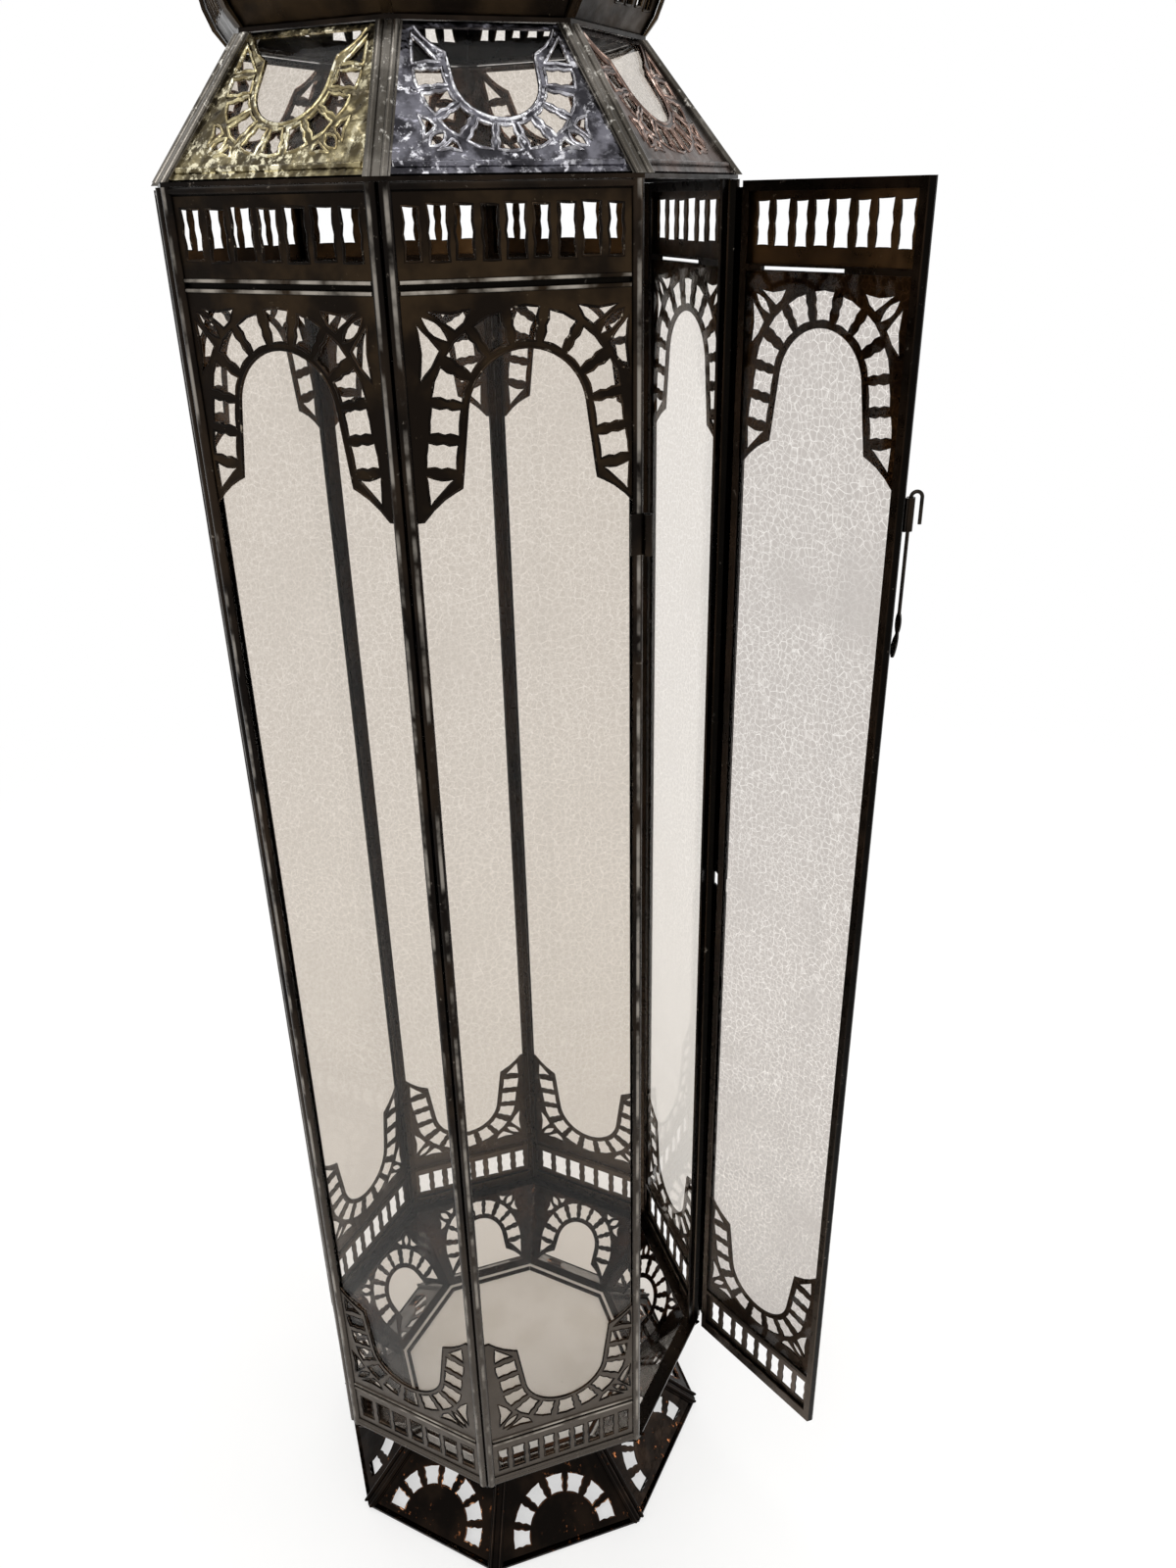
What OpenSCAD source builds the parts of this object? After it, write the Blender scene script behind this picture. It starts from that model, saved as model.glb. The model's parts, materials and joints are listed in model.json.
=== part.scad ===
// Eight-sided standing candle lantern of pierced sheet metal and glass, with one hinged door.
// The axis of the lantern is Z, the ground is z = 0 and the doorway faces -Y.
// Sides are counted anticlockwise from the left side (-X): side 2 is the doorway.

/* [Body] */
// Corner radius of the eight-sided body
body_r = 160; // [148:1:180]
// Height of the body with its two rings
body_h = 864; // [600:1:1100]
// Thickness of the flat eight-sided rings
ring_t = 2; // [1.5:0.1:4]
// How far the rings stand back behind the corners
ring_back = 2.5; // [1.5:0.1:3.5]
// Width of the body rings, measured along a corner
ring_w = 12; // [10.5:0.5:16]
// Radius of the half-round front of a stile
stile_r = 3.0; // [2.7:0.1:3.3]
// Distance of a stile from the corner line
stile_gap = 1.3; // [1.1:0.1:1.8]
// Depth of the stile groove that holds the fret plate and the pane
groove_in = 2.6; // [2:0.1:3.2]
// Depth of the stile groove behind the crown of the stile
groove_at = 2.3; // [2.2:0.1:2.8]
// Wall behind the stile groove
groove_wall = 0.9; // [0.8:0.1:1.5]
// Height of the top rail of a side
top_rail_h = 3.6; // [3:0.1:6]
// Height of the bottom rail of a side
bottom_rail_h = 7; // [6.5:0.1:10]

/* [Sheet metal and glass] */
// Thickness of the pierced sheet
sheet_t = 1.2; // [0.8:0.1:1.6]
// Thickness of a glass pane
glass_t = 2; // [1.5:0.1:3]
// Clearance of a plate or pane in its seat
seat_gap = 0.1; // [0.05:0.01:0.15]
// Radius of the rolled hem along a plate
hem_r = 1.1; // [0.8:0.1:1.4]

/* [Piercing] */
// Height of the row of upright slots
slot_h = 22; // [16:1:30]
// Metal between two slots
slot_bar = 3.7; // [3:0.1:6]
// Plate between the slots and the rail
slot_edge = 5.1; // [3:0.1:7]
// Plate between the slots and the rolled hem
slot_hem = 9.5; // [6:0.1:12]
// Open gap between the slotted plate and the arch plate
plate_gap = 2.1; // [1:0.1:3]
// Plain edge around the arch opening
arch_band = 3.4; // [3:0.1:4.5]
// Length of the stones of the arch, outwards
stone_l = 14; // [10:0.5:15]
// Metal between two stones of the arch
stone_bar = 4.2; // [3.5:0.1:6]
// Number of stones in a body arch
stone_n = 11; // [9:1:13]
// Plate beside the arch stones at their springing
arch_side = 7.5; // [6.5:0.1:10]
// Plate above the arch stones
arch_top = 8.8; // [7:0.1:12]
// Straight length of an arch leg
arch_leg = 36.5; // [30:0.5:44]
// Lean of the arch legs from upright
arch_lean = 7.8; // [4:0.1:9]
// Rise of the slanted cut from the leg to the stile
arch_cut = 14.5; // [10:0.5:20]
// Length of an arch leg that its three-cornered foot hole takes up
leg_hole = 6; // [5:0.5:12]
// Metal between that hole and the slanted cut
foot_bar = 3.8; // [3:0.1:5]
// Depth of the scissor notches in the hand-cut edges
notch = 0.7; // [0:0.1:1]

/* [Shoulder and taper] */
// Height of the shoulder
shoulder_h = 61.3; // [54:0.1:80]
// How far the shoulder's foot stands in from the body's corners
shoulder_in = 2.5; // [0:0.5:6]
// Corner radius of the shoulder's top
shoulder_r = 107; // [100:1:118]
// Height of the taper below the body
taper_h = 59.6; // [54:0.1:80]
// How far the taper's top stands in from the body's corners
taper_in = 4; // [0:0.5:8]
// Corner radius of the floor, where the taper ends
floor_r = 103; // [98:1:114]
// Thickness of the floor plate
floor_t = 1.5; // [1:0.1:3]
// Width of the rail around the floor
floor_rail_w = 3; // [2:0.5:8]
// Height of the rail around the floor
floor_rail_h = 2; // [1:0.1:4]
// Plain strip under a taper arch
taper_rail = 6.5; // [4:0.5:9]
// Plain strip over a shoulder arch
shoulder_rail = 3.4; // [3:0.1:6]
// Number of stones in a sloping arch
small_n = 9; // [7:1:9]
// Length of the stones of a sloping arch
small_l = 12.5; // [10:0.5:14]
// Metal between two stones of a sloping arch
small_bar = 2.8; // [2.6:0.1:5.5]
// Plate between the stones and the wide edge of the taper
taper_top = 9.5; // [8:0.1:12]
// Plate between the stones and the wide edge of the shoulder
shoulder_top = 12; // [8:0.1:14]
// Plate beside the springing of a sloping arch
small_side = 13; // [11:0.5:15]
// Straight length of a sloping arch's leg
small_leg = 14; // [10:0.5:16]
// Half width of a corner rib
rib_w = 6; // [5:0.1:7.5]
// Thickness of a corner rib
rib_t = 1; // [0.7:0.1:1.5]
// Radius of the two rolls along a corner rib
rib_r = 1.8; // [1.4:0.1:2.3]

/* [Foot] */
// Height of the foot under the floor plate
foot_h = 44.3; // [38:0.1:60]
// How far the foot's rim stands in from the body's corners
foot_in = 4; // [-15:0.5:12]
// Height of the flat rim on the ground
rim_h = 4; // [3:0.1:8]
// Width of the rim along a corner
rim_w = 9; // [7:0.5:14]
// Number of stones round the foot's half disc
foot_n = 7; // [5:2:9]
// Length of the foot's stones
foot_stone = 13; // [10:0.5:15]
// Height of the half disc's centre above the rim
foot_rise = 5; // [3:0.5:9]
// Plate above the foot's stones
foot_top = 14; // [12:0.5:20]

/* [Dome] */
// How far the dome bulges out beyond its foot
dome_swell = 11.7; // [8:0.1:18]
// Height of that bulge above the dome's foot
dome_bulge_z = 32; // [28:1:38]
// Radius of the hollow sweep up to the neck
dome_sweep = 80; // [70:1:90]
// Corner radius of the dome's top under its cap
dome_top_r = 27.5; // [24:0.5:34]
// Number of slots in each gore
dome_slots = 7; // [5:1:8]
// Height of the slots above the dome's foot
dome_slot_z = 10; // [8:0.5:14]
// Radius of the neck
neck_r = 11; // [9:0.5:13]
// Height of the neck
neck_h = 15; // [12:0.5:24]
// Radius of the ball on the neck
ball_r = 11; // [9:0.5:13]
// Radius of the eye that holds the carrying ring
eye_r = 7.5; // [6.5:0.1:9]
// Thickness of the eye
eye_t = 3; // [2:0.1:4]
// Radius of the carrying ring to the middle of its wire
carry_r = 30; // [26:0.5:34]
// Radius of the carrying ring's wire
carry_wire = 2.6; // [2:0.1:3]
// Lean of the carrying ring from upright, as it lies
carry_lean = 146.3; // [120:0.1:146.5]

/* [Door] */
// How far the door stands open, from closed
door_open = 66.7; // [0:0.1:180]
// Extra gap around the door
door_gap = 0.8; // [0.5:0.1:1.5]
// Distance of the hinge axis outside the corner
hinge_out = 3; // [2.9:0.1:4]
// Radius of a hinge pin
pin_r = 1.2; // [0.8:0.05:1.4]
// Running clearance around a hinge pin
pin_gap = 0.08; // [0.03:0.01:0.1]
// Outer radius of a rolled knuckle
knuckle_r = 2.6; // [2.4:0.05:2.7]
// Gap between two knuckles
knuckle_gap = 0.4; // [0.3:0.05:1]
// Thickness of a hinge leaf
leaf_t = 1.1; // [0.8:0.1:1.3]
// Distance of the two long hinges from the ends of the door
hinge_in = 3; // [2:1:60]
// Open gap between the two hinges
hinge_mid = 10; // [4:1:80]
// Distance of the latch sleeve's top below the door's top
latch_in = 147.3; // [80:0.1:300]
// Length of the latch sleeve
sleeve_l = 17.5; // [12:0.5:26]
// Distance of the latch sleeve's axis from the corner line, along the door
latch_side = 3; // [2.5:0.1:5]
// How far the latch sleeve's axis stands out from the door
latch_out = 3.8; // [3.6:0.1:8]
// Length of the keeper
keeper_l = 21; // [14:0.5:28]
// How much lower the keeper's top is than the latch sleeve's
keeper_drop = 1.3; // [0:0.1:6]
// Radius of the bolt's wire
bolt_r = 1; // [0.8:0.05:1.3]
// Clearance of the bolt's wire in its sleeve
bolt_gap = 0.3; // [0.25:0.05:0.4]
// Wall of the latch sleeve
sleeve_wall = 1.0; // [0.8:0.1:1.5]
// Length of the bolt below the latch sleeve
bolt_l = 70; // [50:1:90]
// Length of the bolt's bent-over leg
bolt_leg = 14; // [10:0.5:24]
// Turn of the bolt's leg away from the keeper
bolt_turn = 70; // [50:1:110]

/* [Hidden] */

half = 22.5;
ch = cos(half);
sh = sin(half);
round_fn = 48;
arc_n = 24;
far = 400;

// Slots in each side, counted from the left side
slot_count = [7, 9, 8, 7, 7, 8, 8, 7];
// Open part of the gap under the top slots of each side, from and to
top_slit = [[0, 0], [0, 0], [-13, 42.5], [-20, 42], [0, 0], [0, 0], [0, 0], [0, 0]];
// Hand-cut drift of each arch along its side
arch_drift = [-1.6, 2.4, 1.1, 0.8, -0.6, 1, -0.8, 0.6];

bead_d = stile_r;
plate_d = groove_at + seat_gap;
pane_d = plate_d + sheet_t + seat_gap;
groove_d = pane_d + glass_t + seat_gap;
frame_d = groove_d + groove_wall;
mitre = tan(half);
rail_lip = 1.5;
small_lean = 2;

z_floor = foot_h + floor_t;
z_body = z_floor + taper_h;
z_frame = z_body + ring_t;
frame_h = body_h - 2 * ring_t;
z_shoulder = z_body + body_h;
z_dome = z_shoulder + shoulder_h + ring_t;

shoulder_base_r = body_r - shoulder_in;
taper_base_r = body_r - taper_in;
foot_r = body_r - foot_in;
foot_sec = [foot_r - 1, rim_h, floor_r + 1.5, foot_h];
// Cut of the sloping plates: [plain strip at the narrow edge, plate at the wide edge,
// margin of the cut beside the rib, distance of the hem from the wide edge]
taper_cut = [taper_rail, taper_top, 1.4, 2.2];
shoulder_cut = [shoulder_rail, shoulder_top, 4.5, 4.6];
taper_sec = [floor_r, z_floor, taper_base_r, z_body];
shoulder_sec = [shoulder_base_r, z_shoulder, shoulder_r, z_shoulder + shoulder_h];

door_side = 2;
hinge_pos = [(body_r + hinge_out) * cos(-67.5), (body_r + hinge_out) * sin(-67.5)];
door_h = frame_h - 2 * door_gap;
z_door = z_frame + door_gap;

// ---- directions and sections -------------------------------------------------------------

// Direction in which side k faces
function az(k) = -180 + 45 * k;
// Width of a side whose corners lie at radius r
function side(r) = 2 * r * sh;
// Small steady unevenness of hand work
function wob(i, a) = a * sin(i * 137.5 + 40);

// Sloping length of a section [foot radius, foot height, top radius, top height]
function slope(s) = norm([(s[2] - s[0]) * ch, s[3] - s[1]]);
// Lean of a section's faces from upright, outwards when positive
function lean(s) = atan2((s[2] - s[0]) * ch, s[3] - s[1]);
// Angle between a face and the tangent plane at the corner, seen along the corner
function fold(s) = asin(cos(lean(s)) * sh);
function wide(s) = side(max(s[0], s[2]));
function narrow(s) = side(min(s[0], s[2]));
// Half width of a sloping face at distance y from its wide edge
function half_at(s, y) = wide(s) / 2 - y * (wide(s) - narrow(s)) / 2 / slope(s);
// Room that a layer at depth d leaves at a corner, and at the wide edge
function corner_room(s, d) = d * tan(fold(s)) + 0.2;
function wide_room(s, d) = d * tan(abs(lean(s))) + 0.15;

module at_face(k, r) {
    rotate([0, 0, az(k)]) translate([r * ch, 0, 0]) rotate([90, 0, 90]) children();
}

// Local x runs along the side, y up the slope and z outwards
module at_slope(k, s) {
    rotate([0, 0, az(k)])
        translate([s[0] * ch, 0, s[1]])
            rotate([0, lean(s), 0])
                rotate([90, 0, 90]) children();
}

module along_x(w) {
    translate([-w / 2, 0, 0]) rotate([90, 0, 90]) linear_extrude(w) children();
}

module along_y(h) {
    translate([0, h, 0]) rotate([90, 0, 0]) linear_extrude(h) children();
}

module layer(d, t) {
    translate([0, 0, -d - t]) linear_extrude(t) children();
}

module octagon(r) {
    polygon([for (k = [0 : 7]) r * [cos(half + 45 * k), sin(half + 45 * k)]]);
}

module octagon_ring(r_out, r_in, h) {
    linear_extrude(h)
        difference() {
            octagon(r_out);
            octagon(r_in);
        }
}

// One eighth of the round, from corner to corner, short of the corners by gap
module wedge(k, gap, h) {
    reach = far * [1, tan(half)];
    rotate([0, 0, az(k)])
        translate([gap / sh, 0, 0])
            linear_extrude(h) polygon([[0, 0], [reach[0], -reach[1]], reach]);
}

// ---- piercing ------------------------------------------------------------------------------

// Distance from the arch's edge to the middle of its stones
function arch_mid(l) = arch_band + l / 2;
function arch_run(r, l, leg, a) = 2 * leg + (180 - 2 * a) * PI / 180 * (r + arch_mid(l));

// Point beside an arch: s along it from the left foot, d outwards from its edge
function leg_pt(q, d, r, a) = [(r + d) * cos(a) + q * sin(a), (r + d) * sin(a) - q * cos(a)];
function flip(p) = [-p[0], p[1]];
function arch_pt(s, d, r, l, leg, a) =
    let (run = arch_run(r, l, leg, a))
    s < leg ? flip(leg_pt(leg - s, d, r, a))
    : s > run - leg ? leg_pt(leg - run + s, d, r, a)
    : let (t = 180 - a - (s - leg) / (r + arch_mid(l)) * 180 / PI) (r + d) * [cos(t), sin(t)];

// Scissor notches along a cut edge: [how far along, how far in]
notches = [[0, 0], [0.3, 1], [0.5, -0.2], [0.72, 0.9], [1, 0]];
function back(v) = [for (i = [len(v) - 1 : -1 : 0]) v[i]];

// A pierced stone from s0 to s1 along an arch
function stone(s0, s1, i, r, l, leg, a) =
    let (
        d0 = arch_band + wob(i, 0.25),
        d1 = arch_band + l + wob(i + 3, 0.35),
        mid = (s0 + s1) / 2
    )
    [
        for (q = notches) arch_pt(s0 + notch * q[1] + wob(i, 0.3), d0 + (d1 - d0) * q[0], r, l, leg, a),
        arch_pt(mid, d1 + 0.4, r, l, leg, a),
        for (q = back(notches)) arch_pt(s1 - notch * q[1] + wob(i + 5, 0.3), d0 + (d1 - d0) * q[0], r, l, leg, a),
        arch_pt(mid, d0 + 0.3, r, l, leg, a)
    ];

// How far along a leg the slanted cut falls for each millimetre outwards; the cut runs from the
// foot of the leg to x_end beside the arch's centre, at the height y_end
function cut_fall(r, l, leg, a, x_end, y_end) =
    let (foot = arch_pt(0, 0, r, l, leg, a), run = x_end + foot[0], drop = foot[1] - y_end)
    (run * sin(a) + drop * cos(a)) / (run * cos(a) - drop * sin(a));

// The three-cornered hole at the foot of a leg, on the left, over the slanted cut
function foot_hole(bar, r, l, leg, a, fall) =
    let (
        top = leg_hole - bar / 2,
        tip = arch_band + l - 2.6,
        low = foot_bar * sqrt(1 + fall * fall) - fall * tip
    )
    [
        arch_pt(top, arch_band + 0.8, r, l, leg, a),
        arch_pt(top - 1, arch_band + l * 0.5, r, l, leg, a),
        arch_pt(top + 0.4, arch_band + l, r, l, leg, a),
        arch_pt((top + low) * 0.6, arch_band + l - 1.4, r, l, leg, a),
        arch_pt(low, tip, r, l, leg, a),
        arch_pt((top + low) / 2 + 0.6, arch_band + l * 0.42, r, l, leg, a)
    ];

// Point beside the line from the arch's centre towards a corner
function beside(ang, rho, h) = rho * [cos(ang), sin(ang)] + h * [-sin(ang), cos(ang)];

// The petal on that line
petal_w = 2.6;
function petal(ang, r0, r1) =
    [
        for (t = [0 : 0.2 : 1]) beside(ang, r0 + (r1 - r0) * t, petal_w * sin(180 * t)),
        for (t = [0.8 : -0.2 : 0.2]) beside(ang, r0 + (r1 - r0) * t, -petal_w * sin(180 * t))
    ];

// The three-pointed hole between the petal, the arch and the edge y = cy
function star(cx, cy, rb) =
    let (
        ang = atan2(cy, cx),
        tip = [sqrt(max(4, pow(rb + 3.4, 2) - cy * cy)), cy],
        start = [cx - 5.6, cy - 0.2],
        low = (rb + 0.5) * [cos(ang + 6.5), sin(ang + 6.5)],
        on = (atan2(tip[1], tip[0]) + ang + 6.5) / 2
    )
    [
        start,
        (start + tip) / 2 - [0, 1.5],
        tip,
        (rb + 0.4) * [cos(on), sin(on)],
        low,
        beside(ang, (norm(low) + norm(start)) / 2, petal_w + 1.9)
    ];
function swap(v) = [for (p = v) [p[1], p[0]]];

module both() {
    children();
    mirror([1, 0, 0]) children();
}

// Everything pierced around an arch with its centre at the origin
module arch_holes(r, l, n, bar, leg, a, cx, x_end, y_end) {
    run = arch_run(r, l, leg, a);
    pitch = (run - 2 * leg_hole) / n;
    for (i = [0 : n - 1])
        polygon(stone(leg_hole + i * pitch + bar / 2, leg_hole + (i + 1) * pitch - bar / 2,
                      i, r, l, leg, a));
    cy = r + arch_band + l;
    rb = cy + 3.2;
    ang = atan2(cy, cx);
    both() {
        polygon(foot_hole(bar, r, l, leg, a, cut_fall(r, l, leg, a, x_end, y_end)));
        polygon(petal(ang, rb - 0.4, norm([cx, cy]) - 3.4));
        polygon(star(cx, cy, rb));
        polygon(swap(star(cy, cx, rb)));
    }
}

// Edge of the plate from the left side, over the arch opening, to the right side
function cut_edge(r, l, leg, a, x_end, y_end) =
    let (
        foot = arch_pt(0, 0, r, l, leg, a),
        far_end = [-x_end, y_end],
        dir = foot - far_end,
        up = [-dir[1], dir[0]] / norm(dir),
        left = [for (t = [0, 0.3, 0.6, 0.85]) far_end + dir * t + up * 1.6 * sin(180 * t)],
        run = arch_run(r, l, leg, a),
        arc = [for (i = [0 : arc_n]) arch_pt(leg + (run - 2 * leg) * i / arc_n, 0, r, l, leg, a)]
    )
    concat(left, [foot], arc, [flip(foot)], [for (p = back(left)) flip(p)]);

// A row of upright slots, w wide and h high, standing on y = 0
module slots(n, w, h, bar, seed) {
    pitch = (w + bar) / n;
    for (i = [0 : n - 1]) {
        x0 = -w / 2 + i * pitch + wob(seed + i, 0.5);
        x1 = -w / 2 + (i + 1) * pitch - bar + wob(seed + i + 4, 0.5);
        y0 = wob(seed + i, 0.4);
        y1 = h + wob(seed + i + 2, 0.4);
        polygon(concat(
            [for (q = notches) [x0 + notch * q[1], y0 + (y1 - y0) * q[0]]],
            [for (q = back(notches)) [x1 - notch * q[1] * 0.8, y0 + (y1 - y0) * (0.02 + q[0] * 0.98)]]
        ));
    }
}

// ---- the sides of the body -----------------------------------------------------------------

// Extra gap of a side: the door's own, or none
function extra(k) = k == door_side ? door_gap : 0;
function stile_in(k) = stile_gap + extra(k) + 2 * stile_r;
function open_half(k) = side(body_r) / 2 - stile_in(k);
function plate_half(k) = open_half(k) + groove_in - 0.3;
function arch_r(k) = open_half(k) - arch_side - stone_l - arch_band;
function side_h(k) = frame_h - 2 * extra(k);

// Plate heights, from the end of the frame inwards
function slot_plate_end(rail) = rail + 0.3 + slot_edge + slot_h + slot_hem;
function arch_start(rail) = slot_plate_end(rail) + plate_gap;

// Cut through a stile: x across the side, y outwards
module stile_profile(k) {
    x_in = open_half(k);
    x_out = x_in + 2 * stile_r;
    x_back = min(x_out, side(body_r) / 2 - frame_d * mitre - 0.15 - extra(k));
    difference() {
        union() {
            intersection() {
                translate([x_in + stile_r, -bead_d]) circle(r = stile_r, $fn = round_fn);
                translate([x_in, -bead_d - 0.1]) square([2 * stile_r, 2 * stile_r]);
            }
            polygon([[x_in, -bead_d], [x_out, -bead_d], [x_back, -frame_d], [x_in, -frame_d]]);
        }
        translate([x_in - 1, -groove_d]) square([groove_in + 1, groove_d - groove_at]);
    }
}

// Cut through a rail, with a lip behind the plate
module rail_profile(h, beads) {
    translate([0, -frame_d]) square([h, frame_d - groove_at]);
    translate([0, -frame_d]) square([h + rail_lip, frame_d - pane_d]);
    for (b = beads)
        translate([b[0], -groove_at]) circle(r = b[1], $fn = round_fn);
}

// Bar behind the gap between two plates, which the pane stands on, open from slit[0] to slit[1]
module gap_bar(k, rail, slit) {
    reach = open_half(k) + groove_in + 0.1;
    lap = 0.9;
    difference() {
        translate([-reach, arch_start(rail) - plate_gap - lap, -frame_d])
            cube([2 * reach, plate_gap + lap + 0.2, frame_d - pane_d]);
        if (slit[1] > slit[0])
            translate([slit[0], arch_start(rail) - plate_gap, -frame_d - 1])
                cube([slit[1] - slit[0], plate_gap - 0.3, frame_d]);
    }
}

module frame(k) {
    h = side_h(k);
    rail_w = 2 * open_half(k) + stile_r;
    both() along_y(h) stile_profile(k);
    along_x(rail_w) rail_profile(bottom_rail_h, [[1.9, 1.8], [5.3, 1.5]]);
    translate([0, h, 0]) mirror([0, 1, 0])
        along_x(rail_w) rail_profile(top_rail_h, [[1.8, 1.7]]);
    gap_bar(k, bottom_rail_h, [0, 0]);
    translate([0, h, 0]) mirror([0, 1, 0]) gap_bar(k, top_rail_h, top_slit[k]);
}

module hem(w, y, r) {
    translate([0, y, 0]) along_x(w) intersection() {
        circle(r = r, $fn = round_fn);
        translate([-r, -sheet_t / 2]) square([2 * r, r + sheet_t / 2]);
    }
}

// Slotted plate, standing on y = 0 with its rolled hem at the top
module slot_plate(k, seed) {
    h = slot_edge + slot_h + slot_hem;
    translate([0, 0, -plate_d]) {
        layer(0, sheet_t) difference() {
            translate([-plate_half(k), 0]) square([2 * plate_half(k), h]);
            translate([0, slot_edge])
                slots(slot_count[k], 2 * (open_half(k) - 3.2), slot_h, slot_bar, seed);
        }
        hem(2 * open_half(k) - 0.6, h - hem_r, hem_r);
    }
}

// Arch plate, hanging from y = 0 with its rolled hem at the top
module arch_plate(k) {
    r = arch_r(k);
    top = arch_top + stone_l + arch_band + r;
    w = plate_half(k);
    y_end = arch_pt(0, 0, r, stone_l, arch_leg, arch_lean)[1] - arch_cut;
    translate([0, 0, -plate_d]) {
        layer(0, sheet_t) difference() {
            translate([arch_drift[k], -top])
                polygon(concat(
                    [[w - arch_drift[k], top], [-w - arch_drift[k], top]],
                    [[-w - arch_drift[k], y_end]],
                    cut_edge(r, stone_l, arch_leg, arch_lean, w - 3, y_end),
                    [[w - arch_drift[k], y_end]]
                ));
            translate([arch_drift[k], -top])
                arch_holes(r, stone_l, stone_n, stone_bar, arch_leg, arch_lean, open_half(k) - 3.6,
                           w - 3, y_end);
        }
        hem(2 * open_half(k) - 0.6, -hem_r, hem_r);
    }
}

// The four pierced plates of a side
module fret(k) {
    h = side_h(k);
    translate([0, bottom_rail_h + 0.3, 0]) slot_plate(k, k * 11);
    translate([0, arch_start(bottom_rail_h), 0]) mirror([0, 1, 0]) arch_plate(k);
    translate([0, h - arch_start(top_rail_h), 0]) arch_plate(k);
    translate([0, h - top_rail_h - 0.3, 0]) mirror([0, 1, 0]) slot_plate(k, k * 11 + 5);
}

module pane(k) {
    lo = arch_start(bottom_rail_h) + 0.4;
    hi = side_h(k) - arch_start(top_rail_h) - 0.4;
    translate([-plate_half(k), lo, 0]) layer(pane_d, glass_t) square([2 * plate_half(k), hi - lo]);
}

module side_frame(k) {
    color([0.16, 0.14, 0.12]) translate([0, 0, z_frame]) at_face(k, body_r) frame(k);
}

module side_fret(k) {
    color([0.2, 0.17, 0.14]) translate([0, 0, z_frame]) at_face(k, body_r) fret(k);
}

module side_glass(k) {
    color([0.86, 0.85, 0.82, 0.4]) translate([0, 0, z_frame]) at_face(k, body_r) pane(k);
}

// Angle strips behind the doorway's two corners, with the long leg on the doorway
jamb_t = 1.2;
jamb_w = 8;
module doorway_jambs() {
    d0 = frame_d + 0.3;
    d1 = d0 + jamb_t;
    back_side = 3;
    color([0.16, 0.14, 0.12])
        for (e = [-1, 1])
            translate([0, 0, z_frame]) rotate([0, 0, az(door_side) + e * half])
                linear_extrude(frame_h)
                    polygon([
                        for (q = [
                            [d0, 0], [d0, jamb_w], [d1, jamb_w], [d1, 0], [d1, -back_side], [d0, -back_side]
                        ])
                        jamb_pt(q[0], q[1], e)
                    ]);
}
// Point at depth d behind a side, w along it from the fold of the strip; e says which corner
function jamb_pt(d, w, e) =
    let (f = body_r - d / ch)
    [f - abs(w) * sh, -e * sign(w) * abs(w) * ch];

module body_bottom_ring() {
    color([0.16, 0.14, 0.12])
        translate([0, 0, z_body])
            octagon_ring(body_r - ring_back, body_r - ring_back - ring_w, ring_t - seat_gap);
}

module body_top_ring() {
    color([0.16, 0.14, 0.12])
        translate([0, 0, z_shoulder - ring_t + seat_gap])
            octagon_ring(body_r - ring_back, body_r - ring_back - ring_w, ring_t - seat_gap);
}

// ---- sloping sections ------------------------------------------------------------------------

// Arch radius that leaves the side margins on a sloping face
function slope_r(s, c) =
    let (k = (wide(s) - narrow(s)) / 2 / slope(s), over = c[1] + small_l + arch_band)
    (wide(s) / 2 - k * over - small_side - small_l - arch_band) / (1 + k);

// Pierced plate hanging from its wide edge at y = 0, cut as c says
module slope_fret(s, c, drift) {
    r = slope_r(s, c);
    top = c[1] + small_l + arch_band + r;
    y0 = wide_room(s, sheet_t);
    y1 = slope(s) - 0.4;
    x_end = half_at(s, slope(s) - c[0]) - rib_w - c[2];
    y_end = top - slope(s) + c[0];
    gap = corner_room(s, sheet_t);
    layer(0, sheet_t) difference() {
        polygon([
            [half_at(s, y0) - gap, -y0], [gap - half_at(s, y0), -y0],
            [gap - half_at(s, y1), -y1], [half_at(s, y1) - gap, -y1]
        ]);
        translate([drift, -top]) {
            polygon(cut_edge(r, small_l, small_leg, small_lean, x_end, y_end));
            arch_holes(r, small_l, small_n, small_bar, small_leg, small_lean,
                       r + arch_band + small_l + 2.5, x_end, y_end);
        }
    }
    hem_at = y0 + c[3];
    hem(2 * (half_at(s, hem_at + 1.6) - rib_w - 0.9), -hem_at, 1.5);
}

module slope_pane(s) {
    back_d = sheet_t + seat_gap + glass_t;
    y0 = wide_room(s, back_d);
    y1 = slope(s) - 0.4;
    gap = corner_room(s, back_d);
    layer(sheet_t + seat_gap, glass_t)
        polygon([
            [half_at(s, y0) - gap, -y0], [gap - half_at(s, y0), -y0],
            [gap - half_at(s, y1), -y1], [half_at(s, y1) - gap, -y1]
        ]);
}

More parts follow.
